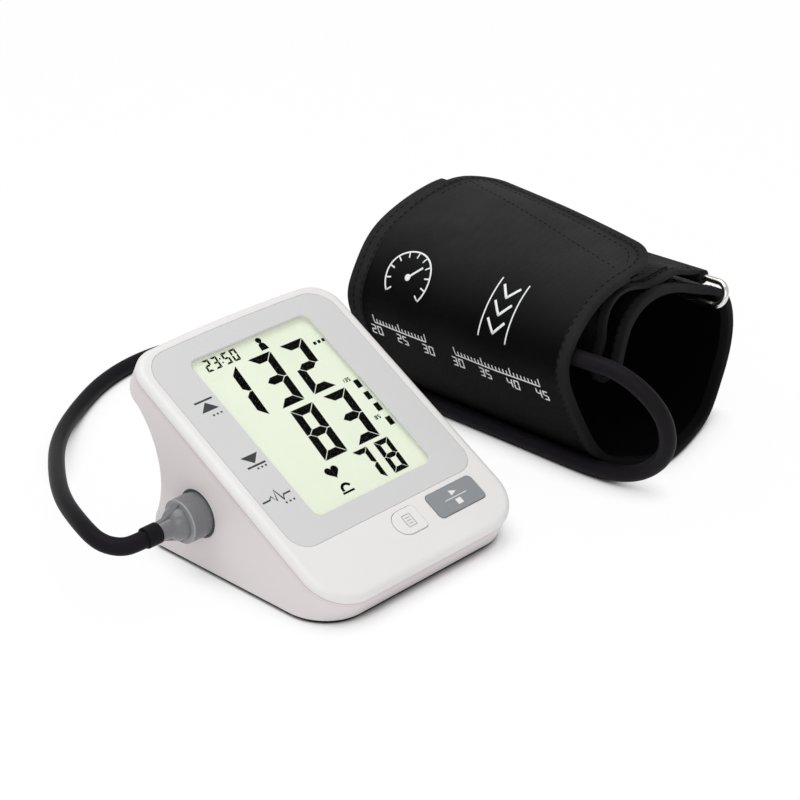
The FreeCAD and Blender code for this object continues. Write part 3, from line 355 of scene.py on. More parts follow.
def seamed(name, colour, seam, rough):
    """Moulded plastic with two fine darker lines below the case's parting plane."""
    f = moulded(name, colour, rough)
    normal = (0.0, -math.sin(FACE_TILT), math.cos(FACE_TILT))
    height = f.above(normal, tuple(v * MM for v in FACE_ORIGIN)) + PARTING * MM
    lines = f.line(height, -0.0004, 0.0005) + f.line(height, -0.0017, 0.0004) * 0.6
    ground = Link(f, f.shader.inputs["Base Color"].links[0].from_socket)
    return f.feed(Base_Color=f.blend(lines * 0.75, ground, seam))


def plug_finish(name, colour):
    """Smooth soft plastic of the plug, with a paler line round its shoulder as a painted highlight."""
    f = moulded(name, colour, 0.24, 1500.0, 0.000012, 0.04)
    along = f.axis(f.place(), "X")
    ground = Link(f, f.shader.inputs["Base Color"].links[0].from_socket)
    # Painted highlight along the shoulder's edge.
    line = f.line(along, PLUG_SHOULDER * MM, 0.0005)
    return f.feed(Base_Color=f.blend(line, ground, shade(colour, 1, 0.15)))


def metal(name, colour, rough=0.25, scratch=0.00001):
    """Metal with fine drawn lines and patches of duller gloss."""
    f = Finish(name, colour, metallic=1.0)
    lines = f.noise(900.0, 4.0, 0.7)
    cloud = f.noise(60.0, 2.0)
    f.feed(Roughness=f.span(cloud, *GRAIN, rough * 0.7, rough * 1.4))
    f.feed(Base_Color=f.blend(cloud, shade(colour, 0.93), colour))
    return f.relief(lines, scratch)


def woven(name, colour, pitch, rough=0.5, depth=0.00014, gloss=0.025, painted_sheen=0.0,
          heights=(0.066, 0.093)):
    """Twill cloth on the piece's own UV map in metres: diagonal ribs crossed by finer threads,
    with slow drift of tone and paler thread tops. The cloth is lifted towards its top by a painted
    sheen of the given share, which comes in between the two heights; below them it keeps a painted shade,
    darker than its colour."""
    f = Finish(name, colour, specular_ior_level=gloss)
    where = f.place("UV")
    along, across = f.axis(where, "X"), f.axis(where, "Y")
    turn = 2 * math.pi / pitch
    ribs = ((along + across) * turn).wave() * 0.5 + 0.5
    threads = ((along - across * 0.6) * (turn * 1.9)).wave() * 0.5 + 0.5
    height = ribs * (1 - 0.45 * threads)
    cloud = f.noise(35.0, 4.0, 0.6)
    fuzz = f.noise(1800.0, 2.0)
    # Painted sheen between the two heights and painted shade below them, by height in the frame.
    painted_sheen_share = f.span(f.axis(f.place(), "Z"), *heights, 0.0, 1.0) ** 1.5 * painted_sheen
    share = (height * 0.65 + cloud * 0.55) * (painted_sheen_share + 0.015)
    f.feed(Base_Color=f.blend(share, shade(colour, 0.7), shade(colour, 1, 0.25)))
    f.feed(Roughness=f.span(fuzz, *GRAIN, rough - 0.08, rough + 0.1))
    return f.relief(height + fuzz * 0.4, depth)


def pile(name, colour, grain, depth):
    """Hook or loop tape: a dense bed of short fibres."""
    f = Finish(name, colour, sheen_weight=0.08, sheen_roughness=0.5, specular_ior_level=0.15)
    cells = f.node("ShaderNodeTexVoronoi", {}, {"Vector": f.place(), "Scale": grain}, "Distance")
    fibres = f.noise(grain * 2.3, 4.0, 0.7)
    height = (1 - cells) * 0.6 + fibres * 0.6
    f.feed(Base_Color=f.blend(height, shade(colour, 0.5), shade(colour, 1.5, 0.01)))
    f.feed(Roughness=f.span(fibres, *GRAIN, 0.7, 0.95))
    return f.relief(height, depth)


def soft_rubber(name, colour, rough=0.42, gloss=0.12):
    """Smooth extruded rubber with a faint bloom and fine drawn grain."""
    f = Finish(name, colour, specular_ior_level=gloss)
    cloud = f.noise(70.0, 4.0, 0.6)
    grain = f.noise(2200.0, 2.0)
    f.feed(Base_Color=f.blend(cloud, shade(colour, 0.93), shade(colour, 1.07)))
    f.feed(Roughness=f.span(grain, *GRAIN, rough - 0.05, rough + 0.05))
    return f.relief(grain, 0.000006)


def ink(name, colour, rough=0.5, gloss=0.3):
    """Printed ink: nearly even colour with faint mottling."""
    f = Finish(name, colour, specular_ior_level=gloss)
    cloud = f.noise(900.0, 3.0)
    f.feed(Base_Color=f.blend(cloud, shade(colour, 0.9), shade(colour, 1.06)))
    return f.feed(Roughness=f.span(cloud, *GRAIN, rough - 0.05, rough + 0.08))


# Mesh tools


def mesh_piece(name, points, faces, finish, uv=None, smooth=True):
    """Object at the origin from an array of points in millimetres and an array of quads."""
    points = np.asarray(points, float).reshape(-1, 3) * MM
    faces = np.asarray(faces, np.int64)
    mesh = bpy.data.meshes.new(name)
    mesh.from_pydata(points.tolist(), [], faces.tolist())
    mesh.validate()
    if uv is not None:
        layer = mesh.uv_layers.new(name="weave")
        loops = np.empty(len(mesh.loops), np.int64)
        mesh.loops.foreach_get("vertex_index", loops)
        layer.data.foreach_set("uv", (np.asarray(uv, float).reshape(-1, 2) * MM)[loops].ravel())
    mesh.polygons.foreach_set("use_smooth", np.full(len(mesh.polygons), smooth))
    if smooth:
        mesh.set_sharp_from_angle(angle=math.radians(50))
    mesh.materials.append(finish.material)
    mesh.update()
    made = bpy.data.objects.new(name, mesh)
    bpy.context.scene.collection.objects.link(made)
    return made


def grid_faces(rows, columns, wrap_rows=False, wrap_columns=False):
    """Quads of a grid of points numbered row by row, closed round either way where asked."""
    r = np.arange(rows if wrap_rows else rows - 1)[:, None]
    c = np.arange(columns if wrap_columns else columns - 1)[None, :]
    r2, c2 = (r + 1) % rows, (c + 1) % columns
    near, far = r * columns, r2 * columns
    return np.stack([near + c, near + c2, far + c2, far + c], -1).reshape(-1, 4)


def tube_faces(rows, ring):
    """Quads of a tube, or of a sheet whose rows run along its upper side and back along its lower one;
    its two ends are closed by strips across the ring, which has an even count."""
    sides = grid_faces(rows, ring, wrap_columns=True)
    c = np.arange(ring // 2 - 1)
    first = np.stack([c + 1, c, ring - 1 - c, ring - 2 - c], -1)
    last = first[:, ::-1] + (rows - 1) * ring
    return np.concatenate([sides, first, last])


def join_parts(parts):
    """One array of points and one of faces from several (points, faces) pairs."""
    points = [np.asarray(p, float).reshape(-1, p.shape[-1]) for p, _ in parts]
    starts = np.cumsum([0] + [len(p) for p in points[:-1]])
    return np.concatenate(points), np.concatenate([f + s for (_, f), s in zip(parts, starts)])


def run_along(line):
    """Distance from the first point of a flat line to each of its points, summed over the chords."""
    return np.concatenate([[0], np.cumsum(np.hypot(*np.diff(line, axis=0).T))])


def spots_at(marks, run, line):
    """Points of a flat line at given distances along it, by straight steps between its points."""
    return np.stack([np.interp(marks, run, line[:, k]) for k in (0, 1)], -1)


def on_face(points, level):
    """Points (u, v) of the sloping face raised by level, in the frame's millimetres."""
    u, v = points[..., 0], points[..., 1]
    c, s = math.cos(FACE_TILT), math.sin(FACE_TILT)
    w = np.full_like(u, level)
    x, y, z = FACE_ORIGIN
    return np.stack([x + u, y + v * c - w * s, z + v * s + w * c], -1)


# Flat marks: each returns (points, faces) in a plane


def patch(corners):
    """Filled quad between four corners."""
    return np.asarray(corners, float), np.array([[1, 2, 3, 0]])


def upright(left, width, ends, lean=0.0):
    """Filled bar between its foot and its top, which is moved to the right by lean."""
    foot, top = ends
    right = left + width
    return patch([(left, foot), (right, foot), (right + lean, top), (left + lean, top)])


def fan(centre, outline):
    """Filled shape: the outline drawn in towards its centre, as a closed ring of quads and a core."""
    outline = np.asarray(outline, float)
    centre = np.asarray(centre, float)
    shares = np.array([1.0, 0.55, 0.02])[:, None, None]
    points = centre + (outline[None] - centre) * shares
    n = len(outline)
    return points.reshape(-1, 2), grid_faces(3, n, wrap_columns=True)[:, ::-1]


def stroke(line, width, closed=False, step=None):
    """Line of even width: each point moved half the width to either side along the mean normal."""
    line = np.asarray(line, float)
    if step:
        ends = np.concatenate([line, line[:1]]) if closed else line
        run = run_along(ends)
        count = max(2, int(run[-1] / step) + 1)
        marks = np.unique(np.concatenate([np.linspace(0, run[-1], count), run]).round(6))
        marks = marks[:-1] if closed else marks
        line = spots_at(marks, run, ends)
    if closed:
        heading = np.roll(line, -1, 0) - np.roll(line, 1, 0)
    else:
        heading = np.gradient(line, axis=0)
    heading /= np.maximum(np.hypot(*heading.T), 1e-9)[:, None]
    side = np.stack([-heading[:, 1], heading[:, 0]], -1) * width / 2
    points = np.stack([line + side, line - side], 1)
    return points.reshape(-1, 2), grid_faces(len(line), 2, wrap_rows=closed)


def arc(centre, radius, start, end, count):
    """Points of an arc between two angles in degrees."""
    t = np.radians(np.linspace(start, end, count))
    return np.stack([centre[0] + radius * np.cos(t), centre[1] + radius * np.sin(t)], -1)


def disc(centre, radius, count=12):
    """Filled circle with count corners."""
    return fan(centre, arc(centre, radius, 0, 360 - 360 / count, count))


SEGMENTS = {"0": "abcdef", "1": "bc", "2": "abged", "3": "abgcd", "4": "fgbc", "5": "afgcd",
            "6": "afgedc", "7": "abc", "8": "abcdefg", "9": "abcdfg"}


def digit(figure, left, low, width, height, bar, gap, slant):
    """Seven-segment figure: mitred bars of the given width with gaps at the joints, leaning right."""
    w, h, t, g = width, height, bar, gap
    m, k = h / 2, t / 2
    shapes = {
        "a": [(g, h), (w - g, h), (w - t - g, h - t), (t + g, h - t)],
        "d": [(t + g, t), (w - t - g, t), (w - g, 0), (g, 0)],
        "g": [(k * 0.8 + g, m), (t + g, m + k), (w - t - g, m + k), (w - k * 0.8 - g, m),
              (w - t - g, m - k), (t + g, m - k)],
        "f": [(0, h - g), (t, h - t - g), (t, m + k + g), (k * 0.8, m + g), (0, m + g)],
        "b": [(w, h - g), (w, m + g), (w - k * 0.8, m + g), (w - t, m + k + g), (w - t, h - t - g)],
        "e": [(0, g), (0, m - g), (k * 0.8, m - g), (t, m - k - g), (t, t + g)],
        "c": [(w, g), (w - t, t + g), (w - t, m - k - g), (w - k * 0.8, m - g), (w, m - g)],
    }
    parts = []
    for name in SEGMENTS[figure]:
        outline = np.array(shapes[name], float)
        outline[:, 0] += slant * outline[:, 1]
        outline += (left, low)
        ahead = np.roll(outline, -1, 0)
        turn = np.sum(outline[:, 0] * ahead[:, 1] - outline[:, 1] * ahead[:, 0])
        outline = outline if turn > 0 else outline[::-1]
        parts.append(fan(outline.mean(0), outline))
    return parts


# The cuff's band


def natural_spline(points, count):
    """Smooth curve through points: piecewise cubics over the chord lengths whose second
    derivative is continuous and zero at both ends, sampled at count places."""
    p = np.asarray(points, float)
    t = run_along(p)
    h = np.diff(t)
    n = len(p)
    system = np.eye(n)
    right = np.zeros_like(p)
    i = np.arange(1, n - 1)
    system[i, i - 1], system[i, i], system[i, i + 1] = h[:-1], 2 * (h[:-1] + h[1:]), h[1:]
    slope = np.diff(p, axis=0) / h[:, None]
    right[1:-1] = 6 * np.diff(slope, axis=0)
    bend = np.linalg.solve(system, right)
    at = np.linspace(0, t[-1], count)
    k = np.clip(np.searchsorted(t, at) - 1, 0, n - 2)
    a, b, w = (t[k + 1] - at)[:, None], (at - t[k])[:, None], h[k][:, None]
    return (bend[k] * a ** 3 + bend[k + 1] * b ** 3) / (6 * w) \
        + (p[k] / w - bend[k] * w / 6) * a + (p[k + 1] / w - bend[k + 1] * w / 6) * b


def band_curve():
    """The band's outer side: reach from the free edge, x, z and outward direction, with a straight
    run added before the free edge."""
    shares = [(CUFF_X + ROLL_HALF * a, ROLL_HEIGHT * b) for a, b in WRAP_SHARES]
    shares += [(RING_X + a, RING_HEIGHT + b) for a, b in THROUGH_RING]
    shares += [(CUFF_X + ROLL_HALF * a, ROLL_HEIGHT * b) for a, b in INNER_SHARES]
    shares.append((RING_X, RING_HEIGHT + LOOP_BORE))
    line = natural_spline(shares, BAND_STEPS)
    lead = line[0] - line[1]
    lead = lead / np.hypot(*lead)
    line = np.concatenate([line[0] + lead * np.linspace(LEAD, 0.1, LEAD_STEPS)[:, None], line])
    run = run_along(line)
    run -= run[LEAD_STEPS]
    heading = np.gradient(line, run, axis=0)
    return run, line, np.stack([heading[:, 1], -heading[:, 0]], -1)


BAND_REACH, BAND_LINE, BAND_OUT = band_curve()
BAND_END = float(BAND_REACH[-1])


def bell(value, middle, width):
    """One at the middle, falling to either side as the exponential of minus the squared distance."""
    return np.exp(-((value - middle) / width) ** 2)


def ease(value, start, end):
    """Zero up to start and one from end on, joined by a cubic that is level at both."""
    t = np.clip((value - start) / (end - start), 0, 1)
    return t * t * (3 - 2 * t)


def cuff_point(reach, y, depth):
    """Point of the cuff at a reach along the band, a place y across it and a depth below its outer
    side. The top sinks towards the front and rises towards the rear, the left shoulder leans in
    at the rear, the bottom reaches forward at the front, and slow ripples move the cloth in and out."""
    reach, y, depth = np.broadcast_arrays(*[np.asarray(v, float) for v in (reach, y, depth)])
    x, z = [np.interp(reach, BAND_REACH, BAND_LINE[:, k]) for k in (0, 1)]
    out_x, out_z = [np.interp(reach, BAND_REACH, BAND_OUT[:, k]) for k in (0, 1)]
    wrap = 1 - ease(reach, *WRAP_FADE)
    share = y / REAR_Y
    front, rear = np.clip(-share, 0, 1), np.clip(share, 0, 1)
    z = z - TOP_SINK * front * bell(reach, *TOP_SINK_PLACE) * wrap
    z = z + TOP_RISE * rear * bell(reach, *TOP_RISE_PLACE) * wrap
    x = x + SHOULDER_LEAN * rear * bell(reach, *SHOULDER_PLACE)
    along, skew, across, phase = RIPPLE_WAVES
    waves = np.sin(reach / along + y / skew) * np.sin(y / across + phase)
    ripple = RIPPLE * waves * ease(reach, *RIPPLE_STARTS) * wrap
    strap = ease(reach, *STRAP_STARTS) * (1 - ease(reach, *[BAND_END - v for v in STRAP_FADES]))
    edge = 1 - ease(y, FRONT_Y, FRONT_Y + STRAP_EDGE)
    along, skew = STRAP_WAVES
    ripple = ripple + STRAP_RIPPLE * strap * (STRAP_SHARE + edge) * np.sin(reach / along + y / skew)
    x = x + out_x * (ripple - depth)
    z = z + out_z * (ripple - depth)
    lean = FRONT_LEAN * ease(reach, *LEAN_STARTS) * (1 - ease(reach, *LEAN_FADES))
    forward = lean * (REAR_Y - y) / (REAR_Y - FRONT_Y)
    return np.stack([x, y - forward, z], -1)


def flap_edge(y):
    """Reach of the flap's free edge across the cuff: a slanting line with round corners."""
    near = np.minimum(y - FRONT_Y, OUTER_REAR_Y - y)
    past = np.clip(FLAP_CORNER - near, 0, FLAP_CORNER)
    dip = FLAP_CORNER - np.sqrt(FLAP_CORNER ** 2 - past ** 2)
    return FLAP_MIDDLE + FLAP_SKEW * y + dip


def cloth_sheet(name, reach, y, top, low, finish):
    """Closed sheet of cloth over a grid of reach and y, from depth top to depth low."""
    reach, y = np.broadcast_arrays(reach, y)
    rows, columns = reach.shape
    upper, under = cuff_point(reach, y, top), cuff_point(reach, y, low)
    points = np.concatenate([upper, under[:, ::-1]], 1)
    uv = np.stack([np.concatenate([reach, reach[:, ::-1]], 1), np.concatenate([y, y[:, ::-1]], 1)], -1)
    return mesh_piece(name, points, tube_faces(rows, 2 * columns), finish, uv)


def tape_parts(line, inward, profile):
    """Tape along a line of (reach, y): each profile point lies a distance inward and a depth down."""
    line, inward, profile = [np.asarray(v, float) for v in (line, inward, profile)]
    spots = line[:, None] + inward[:, None] * profile[None, :, :1]
    points = cuff_point(spots[..., 0], spots[..., 1], profile[None, :, 1])
    uv = np.stack([np.broadcast_to(np.arange(len(line))[:, None] * 1.0, spots.shape[:2]),
                   np.broadcast_to(profile[None, :, 0] + profile[None, :, 1], spots.shape[:2])], -1)
    return points, tube_faces(len(line), len(profile)), uv


def tape_piece(name, line, profile, finish):
    """Piece of tape along a line and its inward direction."""
    points, faces, uv = tape_parts(*line, profile)
    return mesh_piece(name, points, faces[:, ::-1], finish, uv)


def tape_cloth(name, look):
    """Finer twill of the edge tapes, with painted sheen towards the top and painted shade lower down."""
    return woven(name, look.tape, look.weave * 0.7, 0.6, 0.00008, painted_sheen=0.6, heights=(-0.03, 0.095))


def edge_profile(width, thick, proud):
    """Folded tape: over the top, round the edge and back underneath."""
    t = np.linspace(0, 1, 9)
    turn = np.pi * t
    nose = np.stack([-proud * 1.6 * np.sin(turn) + 0.6, thick / 2 - (thick / 2 + proud) * np.cos(turn)], -1)
    crest = -proud * 1.1
    over = np.array([(width, -0.02), (width - 0.35, -proud), (width * 0.6, crest), (1.6, crest)])
    under = over[::-1] * (1, -1) + (0, thick)
    return np.concatenate([over, nose, under])


def edge_line(reach, y, inward_y):
    """A straight edge of the band: reach varies, y stays, and inward points across the band."""
    line = np.stack([reach, np.full_like(reach, y)], -1)
    return line, np.broadcast_to((0.0, inward_y), line.shape)


def flap_outline(count):
    """The flap's edge as a line of (reach, y) from the front seam round the free edge to the rear
    seam, with its inward direction."""
    t = np.linspace(-np.pi / 2, np.pi / 2, count)
    middle, half = (FRONT_Y + OUTER_REAR_Y) / 2, (OUTER_REAR_Y - FRONT_Y) / 2
    y = middle + half * np.sin(t)
    free = np.stack([flap_edge(y), y], -1)
    run_in = np.linspace(FLAP_SEAM, free[0, 0], 12)[:-1]
    run_out = np.linspace(free[-1, 0], FLAP_SEAM, 12)[1:]
    line = np.concatenate([np.stack([run_in, np.full_like(run_in, FRONT_Y)], -1), free,
                           np.stack([run_out, np.full_like(run_out, OUTER_REAR_Y)], -1)])
    run = run_along(line)
    marks = np.linspace(0, run[-1], 2 * count)
    line = spots_at(marks, run, line)
    heading = np.gradient(line, axis=0)
    heading /= np.hypot(*heading.T)[:, None]
    return line, np.stack([heading[:, 1], -heading[:, 0]], -1)


def stitch_run(line, level, length, gap, radius):
    """Stitches along a line of (reach, y): short rods with round ends, half sunk in the cloth."""
    line = np.asarray(line, float)
    run = run_along(line)
    count = max(1, int(run[-1] / (length + gap)))
    middle = (np.arange(count) + 0.5) * run[-1] / count
    along = np.linspace(-0.5, 0.5, 6)
    girth = np.sqrt(np.maximum(1 - (2 * along) ** 6, 0.08)) * radius
    turn = np.linspace(0, 2 * np.pi, 6, endpoint=False)
    marks = middle[:, None] + along[None] * length
    spot = spots_at(marks, run, line)
    heading = spots_at(marks + 0.2, run, line) - spots_at(marks - 0.2, run, line)
    heading /= np.maximum(np.hypot(heading[..., 0], heading[..., 1]), 1e-9)[..., None]
    side = np.stack([-heading[..., 1], heading[..., 0]], -1)
    across = girth[None, :, None] * np.cos(turn)
    rise = girth[None, :, None] * np.sin(turn) * 0.7
    rise = rise - radius * 0.5 * (2 * np.abs(along))[None, :, None] ** 2
    reach = spot[..., None, 0] + side[..., None, 0] * across
    y = spot[..., None, 1] + side[..., None, 1] * across
    points = cuff_point(reach, y, level - rise)
    one = tube_faces(len(along), len(turn))
    each = len(along) * len(turn)
    faces = (one[None] + (np.arange(count) * each)[:, None, None]).reshape(-1, 4)
    return points.reshape(-1, 3), faces


# Settings


def colour_setting(name, description, *steps):
    """A colour that a user can change; its default is given in steps of 0 to 255."""
    return FloatVectorProperty(name=name, description=description, subtype="COLOR_GAMMA", size=3,
                               min=0, max=1, default=tone(*steps))


def length_setting(name, description, default, least):
    """A length that a user can change, in metres."""
    return FloatProperty(name=name, description=description, unit="LENGTH", default=default, min=least)


class CaseSettings(bpy.types.PropertyGroup):
    """Colours of the monitor."""

    cover: colour_setting("Cover", "Front cover", 231, 229, 227)
    base: colour_setting("Base", "Rear cover and battery door", 224, 217, 218)
    seam: colour_setting("Seam", "Fine lines below the parting of the case", 205, 184, 184)
    panel: colour_setting("Panel", "Panel round the display", 208, 209, 208)
    display: colour_setting("Display", "Display ground", 232, 240, 219)
    figures: colour_setting("Figures", "Display figures", 1, 1, 1)
    marks: colour_setting("Marks", "Printed marks on the panel", 56, 58, 61)
    start_key: colour_setting("Start key", "Start key", 140, 143, 146)
    plug: colour_setting("Plug", "Hose plug and socket", 114, 115, 117)


class CuffSettings(bpy.types.PropertyGroup):
    """Sizes and colours of the cuff and hose."""

    cloth: colour_setting("Cloth", "Outer cloth", 8, 8, 9)
    tape: colour_setting("Tape", "Edge tape", 13, 13, 14)
    # Lining: black cloth set darker than the outer cloth, as painted shade inside the roll.
    lining: colour_setting("Lining", "Inner cloth", 4, 4, 5)
    thread: colour_setting("Thread", "Sewing thread", 5, 5, 6)
    print_white: colour_setting("Print", "Printed design", 244, 247, 249)
    ring: colour_setting("Ring", "Plated ring", 238, 234, 228)
    hose: colour_setting("Hose", "Air hose", 28, 26, 29)
    hose_width: length_setting("Hose width", "Outside diameter of the hose", 0.0076, 0.003)
    weave: length_setting("Weave", "Distance between ribs of the cloth", 0.0007, 0.0002)
    tape_width: length_setting("Tape width", "Visible width of the edge tape", 0.0052, 0.002)
    stitch: length_setting("Stitch", "Length of one stitch", 0.0026, 0.0005)
    stitch_gap: length_setting("Stitch gap", "Space between stitches", 0.0012, 0.0002)


class StageSettings(bpy.types.PropertyGroup):
    """Light and floor."""

    overhead: FloatProperty(
        name="Overhead", description="Power of the overhead light", unit="POWER", default=8.0)
    side: FloatProperty(name="Side", description="Power of the side light", unit="POWER", default=3.0)
    ambient: FloatProperty(name="Ambient", description="Strength of the surrounding light", default=0.62)
    floor: colour_setting("Floor", "Floor", 252, 252, 252)


def dress(finish, *nodes):
    """Give CAD nodes a finish through their material slots."""
    for name in nodes:
        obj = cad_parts[name]
        if not obj.material_slots:
            obj.data.materials.append(finish.material)
        for slot in obj.material_slots:
            slot.material = finish.material


def riding(piece, body, slot=None, *nodes):
    """Set a piece on its body and hide the CAD nodes that it stands for; its slot argument is not used."""
    if nodes:
        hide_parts(*nodes)
    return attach(piece, body)


def peeling(piece, slot, *nodes):
    """Bake a piece of the flap's place into its mesh and hide the CAD nodes that it stands for; its slot
    argument is not used.
    """
    if nodes:
        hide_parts(*nodes)
    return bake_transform(piece)


# Operators


class MONITOR_OT_case(bpy.types.Operator):
    """Finish the case, panel, window, keys, plug and socket"""

    bl_idname = "monitor.dress_case"
    bl_label = "Case"

    def execute(self, context):
        look = context.scene.monitor_case
        dress(moulded("cover_white", look.cover, 0.4), "front_cover")
        dress(seamed("base_white", look.base, look.seam, 0.46), "rear_cover", "battery_door")
        dress(moulded("panel_grey", look.panel, 0.36, drift=0.015), "display_panel")
        dress(moulded("key_grey", look.start_key, 0.34, drift=0.02), "start_key")
        dress(moulded("key_white", look.cover, 0.38, drift=0.02), "memory_key")
        dress(plug_finish("plug_grey", look.plug), "air_plug")
        dress(moulded("socket_grey", shade(look.plug, 0.62), 0.5), "air_socket")
        dress(soft_rubber("collar_rubber", tone(26, 25, 27), 0.45, 0.05), "hose_collar", "plug_seal")
        dress(soft_rubber("foot_rubber", tone(58, 58, 60), 0.7), "rubber_feet")
        # The display glows though it is no lamp: painted light that lifts the shade in its recess, with
        # part of its colour moved from base to glow.
        ground = Finish("display_ground", look.display, roughness=0.55, emission_strength=0.44)
        cloud = ground.noise(40.0, 2.0)
        fine = ground.noise(3000.0, 1.0)
        ground.feed(Base_Color=ground.blend(cloud, shade(look.display, 0.76), shade(look.display, 0.78)))
        ground.feed(Emission_Color=ground.blend(cloud, shade(look.display, 0.98), look.display))
        ground.feed(Roughness=ground.span(fine, *GRAIN, 0.5, 0.6))
        dress(ground, "lcd_glass")
        clear = Finish("window_clear", tone(240, 244, 240), specular_ior_level=0.06)
        smear = clear.noise(25.0, 3.0)
        clear.feed(Alpha=clear.span(smear, 0.2, 0.8, 0.002, 0.005))
        clear.feed(Roughness=clear.span(smear, 0.2, 0.8, 0.04, 0.1))
        dress(clear, "window_lens")
        return {"FINISHED"}


class MONITOR_OT_insides(bpy.types.Operator):
    """Finish the pieces inside the case and the joint in the cuff"""

    bl_idname = "monitor.dress_insides"
    bl_label = "Insides"

    def execute(self, context):
        dress(moulded("frame_white", tone(226, 226, 222), 0.5), "lcd_holder", "pump_head", "release_valve")
        dress(soft_rubber("strip_pink", tone(214, 150, 150), 0.6), "connector_strips")
        board = moulded("board_green", tone(28, 92, 54), 0.35, drift=0.05, grain=900.0)
        dress(board, "main_board")
        dress(metal("screw_steel", tone(172, 172, 170), 0.3), "board_screws", "case_screws")
        dress(metal("motor_can", tone(186, 186, 182), 0.28), "pump_motor", "pump_shaft", "valve_plunger")
        dress(metal("contact_nickel", tone(205, 200, 190), 0.25), "front_contacts", "rear_contacts")
        dress(moulded("part_black", tone(24, 24, 26), 0.45), "main_chip", "beeper", "key_switches",
              "pressure_sensor", "start_plunger", "memory_plunger")
        dress(soft_rubber("manifold_silicone", tone(196, 198, 200), 0.5), "air_manifold")
        dress(pile("cushion_foam", tone(84, 84, 86), 700.0, 0.0003), "pump_cushion")
        dress(moulded("cell_wrap", tone(52, 88, 132), 0.3, drift=0.05), "battery_cells")
        dress(soft_rubber("nipple_rubber", tone(30, 30, 32), 0.45), "bladder_nipple")
        dress(metal("ring_plate", context.scene.monitor_cuff.ring, 0.2), "cuff_ring")
        return {"FINISHED"}


def flat_mark(name, parts, level, finish, depth, shift):
    """Mark on the sloping face: flat parts moved by shift, raised to a level and given a live thickness
    that grows down from the printed side."""
    points, faces = join_parts(parts)
    piece = mesh_piece(name, on_face(points + shift, level), faces, finish, smooth=False)
    return thicken(piece, depth)


def thicken(piece, depth):
    """Live thickness for a flat mark, grown from its printed side down."""
    made = piece.modifiers.new("thickness", "SOLIDIFY")
    made.thickness = depth * MM
    made.offset = -1
    return piece


class MONITOR_OT_display(bpy.types.Operator):
    """Add the figures and signs of the display"""

    bl_idname = "monitor.add_display"
    bl_label = "Display figures"

    def execute(self, context):
        parts = []
        for figures, lefts, foot, width, height, bar, gap in FIGURE_ROWS:
            for figure, left in zip(figures, lefts):
                parts += digit(figure, left, foot, width, height, bar, gap, FIGURE_SLANT)
        parts += [disc(dot, COLON_RADIUS) for dot in COLON_DOTS]
        parts += [upright(LEVEL_LEFT, LEVEL_WIDTH, ends, LEVEL_LEAN) for ends in LEVEL_ENDS]
        parts += [upright(DASH_LEFT + DASH_STEP * k, DASH_WIDTH, DASH_ENDS, DASH_LEAN) for k in range(3)]
        t = np.linspace(0, 2 * np.pi, 48, endpoint=False)
        heart = np.stack([16 * np.sin(t) ** 3,
                          13 * np.cos(t) - 5 * np.cos(2 * t) - 2 * np.cos(3 * t) - np.cos(4 * t)], -1)
        parts.append(fan(HEART_MIDDLE, heart[::-1] * HEART_SCALE + HEART_SPOT))
        parts.append(disc(HEAD_SPOT, HEAD_RADIUS, 24))
        parts.append(fan(BODY_MIDDLE, np.concatenate([arc(BODY_SPOT, BODY_RADIUS, 0, 180, 14), BODY_FEET])))
        parts.append(stroke(arc(BELL_SPOT, BELL_RADIUS, 20, 200, 16), BELL_STROKE))
        parts.append(upright(BELL_LEFT, BELL_WIDTH, BELL_ENDS))
        black = ink("figure_black", context.scene.monitor_case.figures, 0.6, 0.0)
        level = DISPLAY_LEVEL + FIGURE_LIFT
        piece = flat_mark("display_figures", parts, level, black, FIGURE_DEPTH, FIGURE_SHIFT)
        riding(piece, "monitor", "display")
        return {"FINISHED"}


class MONITOR_OT_panel_marks(bpy.types.Operator):
    """Add the plain signs beside the display"""

    bl_idname = "monitor.add_panel_marks"
    bl_label = "Panel marks"

    def execute(self, context):
        parts = []
        u = ARROW_MIDDLE
        for base, tip, bar in ARROWS:
            (low, a), (high, b) = sorted([(base, ARROW_HALF), (tip, ARROW_TIP_HALF)])
            parts.append(patch([(u - a, low), (u + a, low), (u + b, high), (u - b, high)]))
            parts.append(stroke([(u - ARROW_BAR_HALF, bar), (u + ARROW_BAR_HALF, bar)], ARROW_BAR))
        parts.append(stroke(PULSE_LINE, PULSE_STROKE))
        parts += [disc((u, v), PANEL_DOT) for v in PANEL_DOTS_V for u in PANEL_DOTS_U]
        grey = ink("mark_grey", context.scene.monitor_case.marks)
        piece = flat_mark("panel_marks", parts, MARK_LIFT, grey, MARK_DEPTH, (WINDOW_SHIFT, 0))
        riding(piece, "monitor", "panel_grey")
        return {"FINISHED"}


class MONITOR_OT_key_marks(bpy.types.Operator):
    """Add the signs on the two keys"""

    bl_idname = "monitor.add_key_marks"
    bl_label = "Key marks"

    def execute(self, context):
        parts = [upright(-KEY_BAR_HALF, 2 * KEY_BAR_HALF, (-KEY_BAR, KEY_BAR)), patch(START_ARROW),
                 upright(-STOP_HALF, 2 * STOP_HALF, STOP_ENDS)]
        white = ink("key_mark_white", tone(232, 233, 234))
        start = flat_mark("start_marks", parts, KEY_TOP + MARK_LIFT, white, MARK_DEPTH, START_SPOT)
        riding(start, "start_button", "key_grey")
        parts = [stroke(PAGE, PAGE_STROKE, closed=True, step=PAGE_STEP)]
        parts += [stroke([(-PAGE_LINE_HALF, v), (PAGE_LINE_HALF, v)], PAGE_LINE) for v in PAGE_LINES]
        grey = ink("key_mark_grey", tone(168, 170, 172))
        memory = flat_mark("memory_marks", parts, KEY_TOP + MARK_LIFT, grey, MARK_DEPTH, MEMORY_SPOT)
        riding(memory, "memory_button", "key_white")
        return {"FINISHED"}


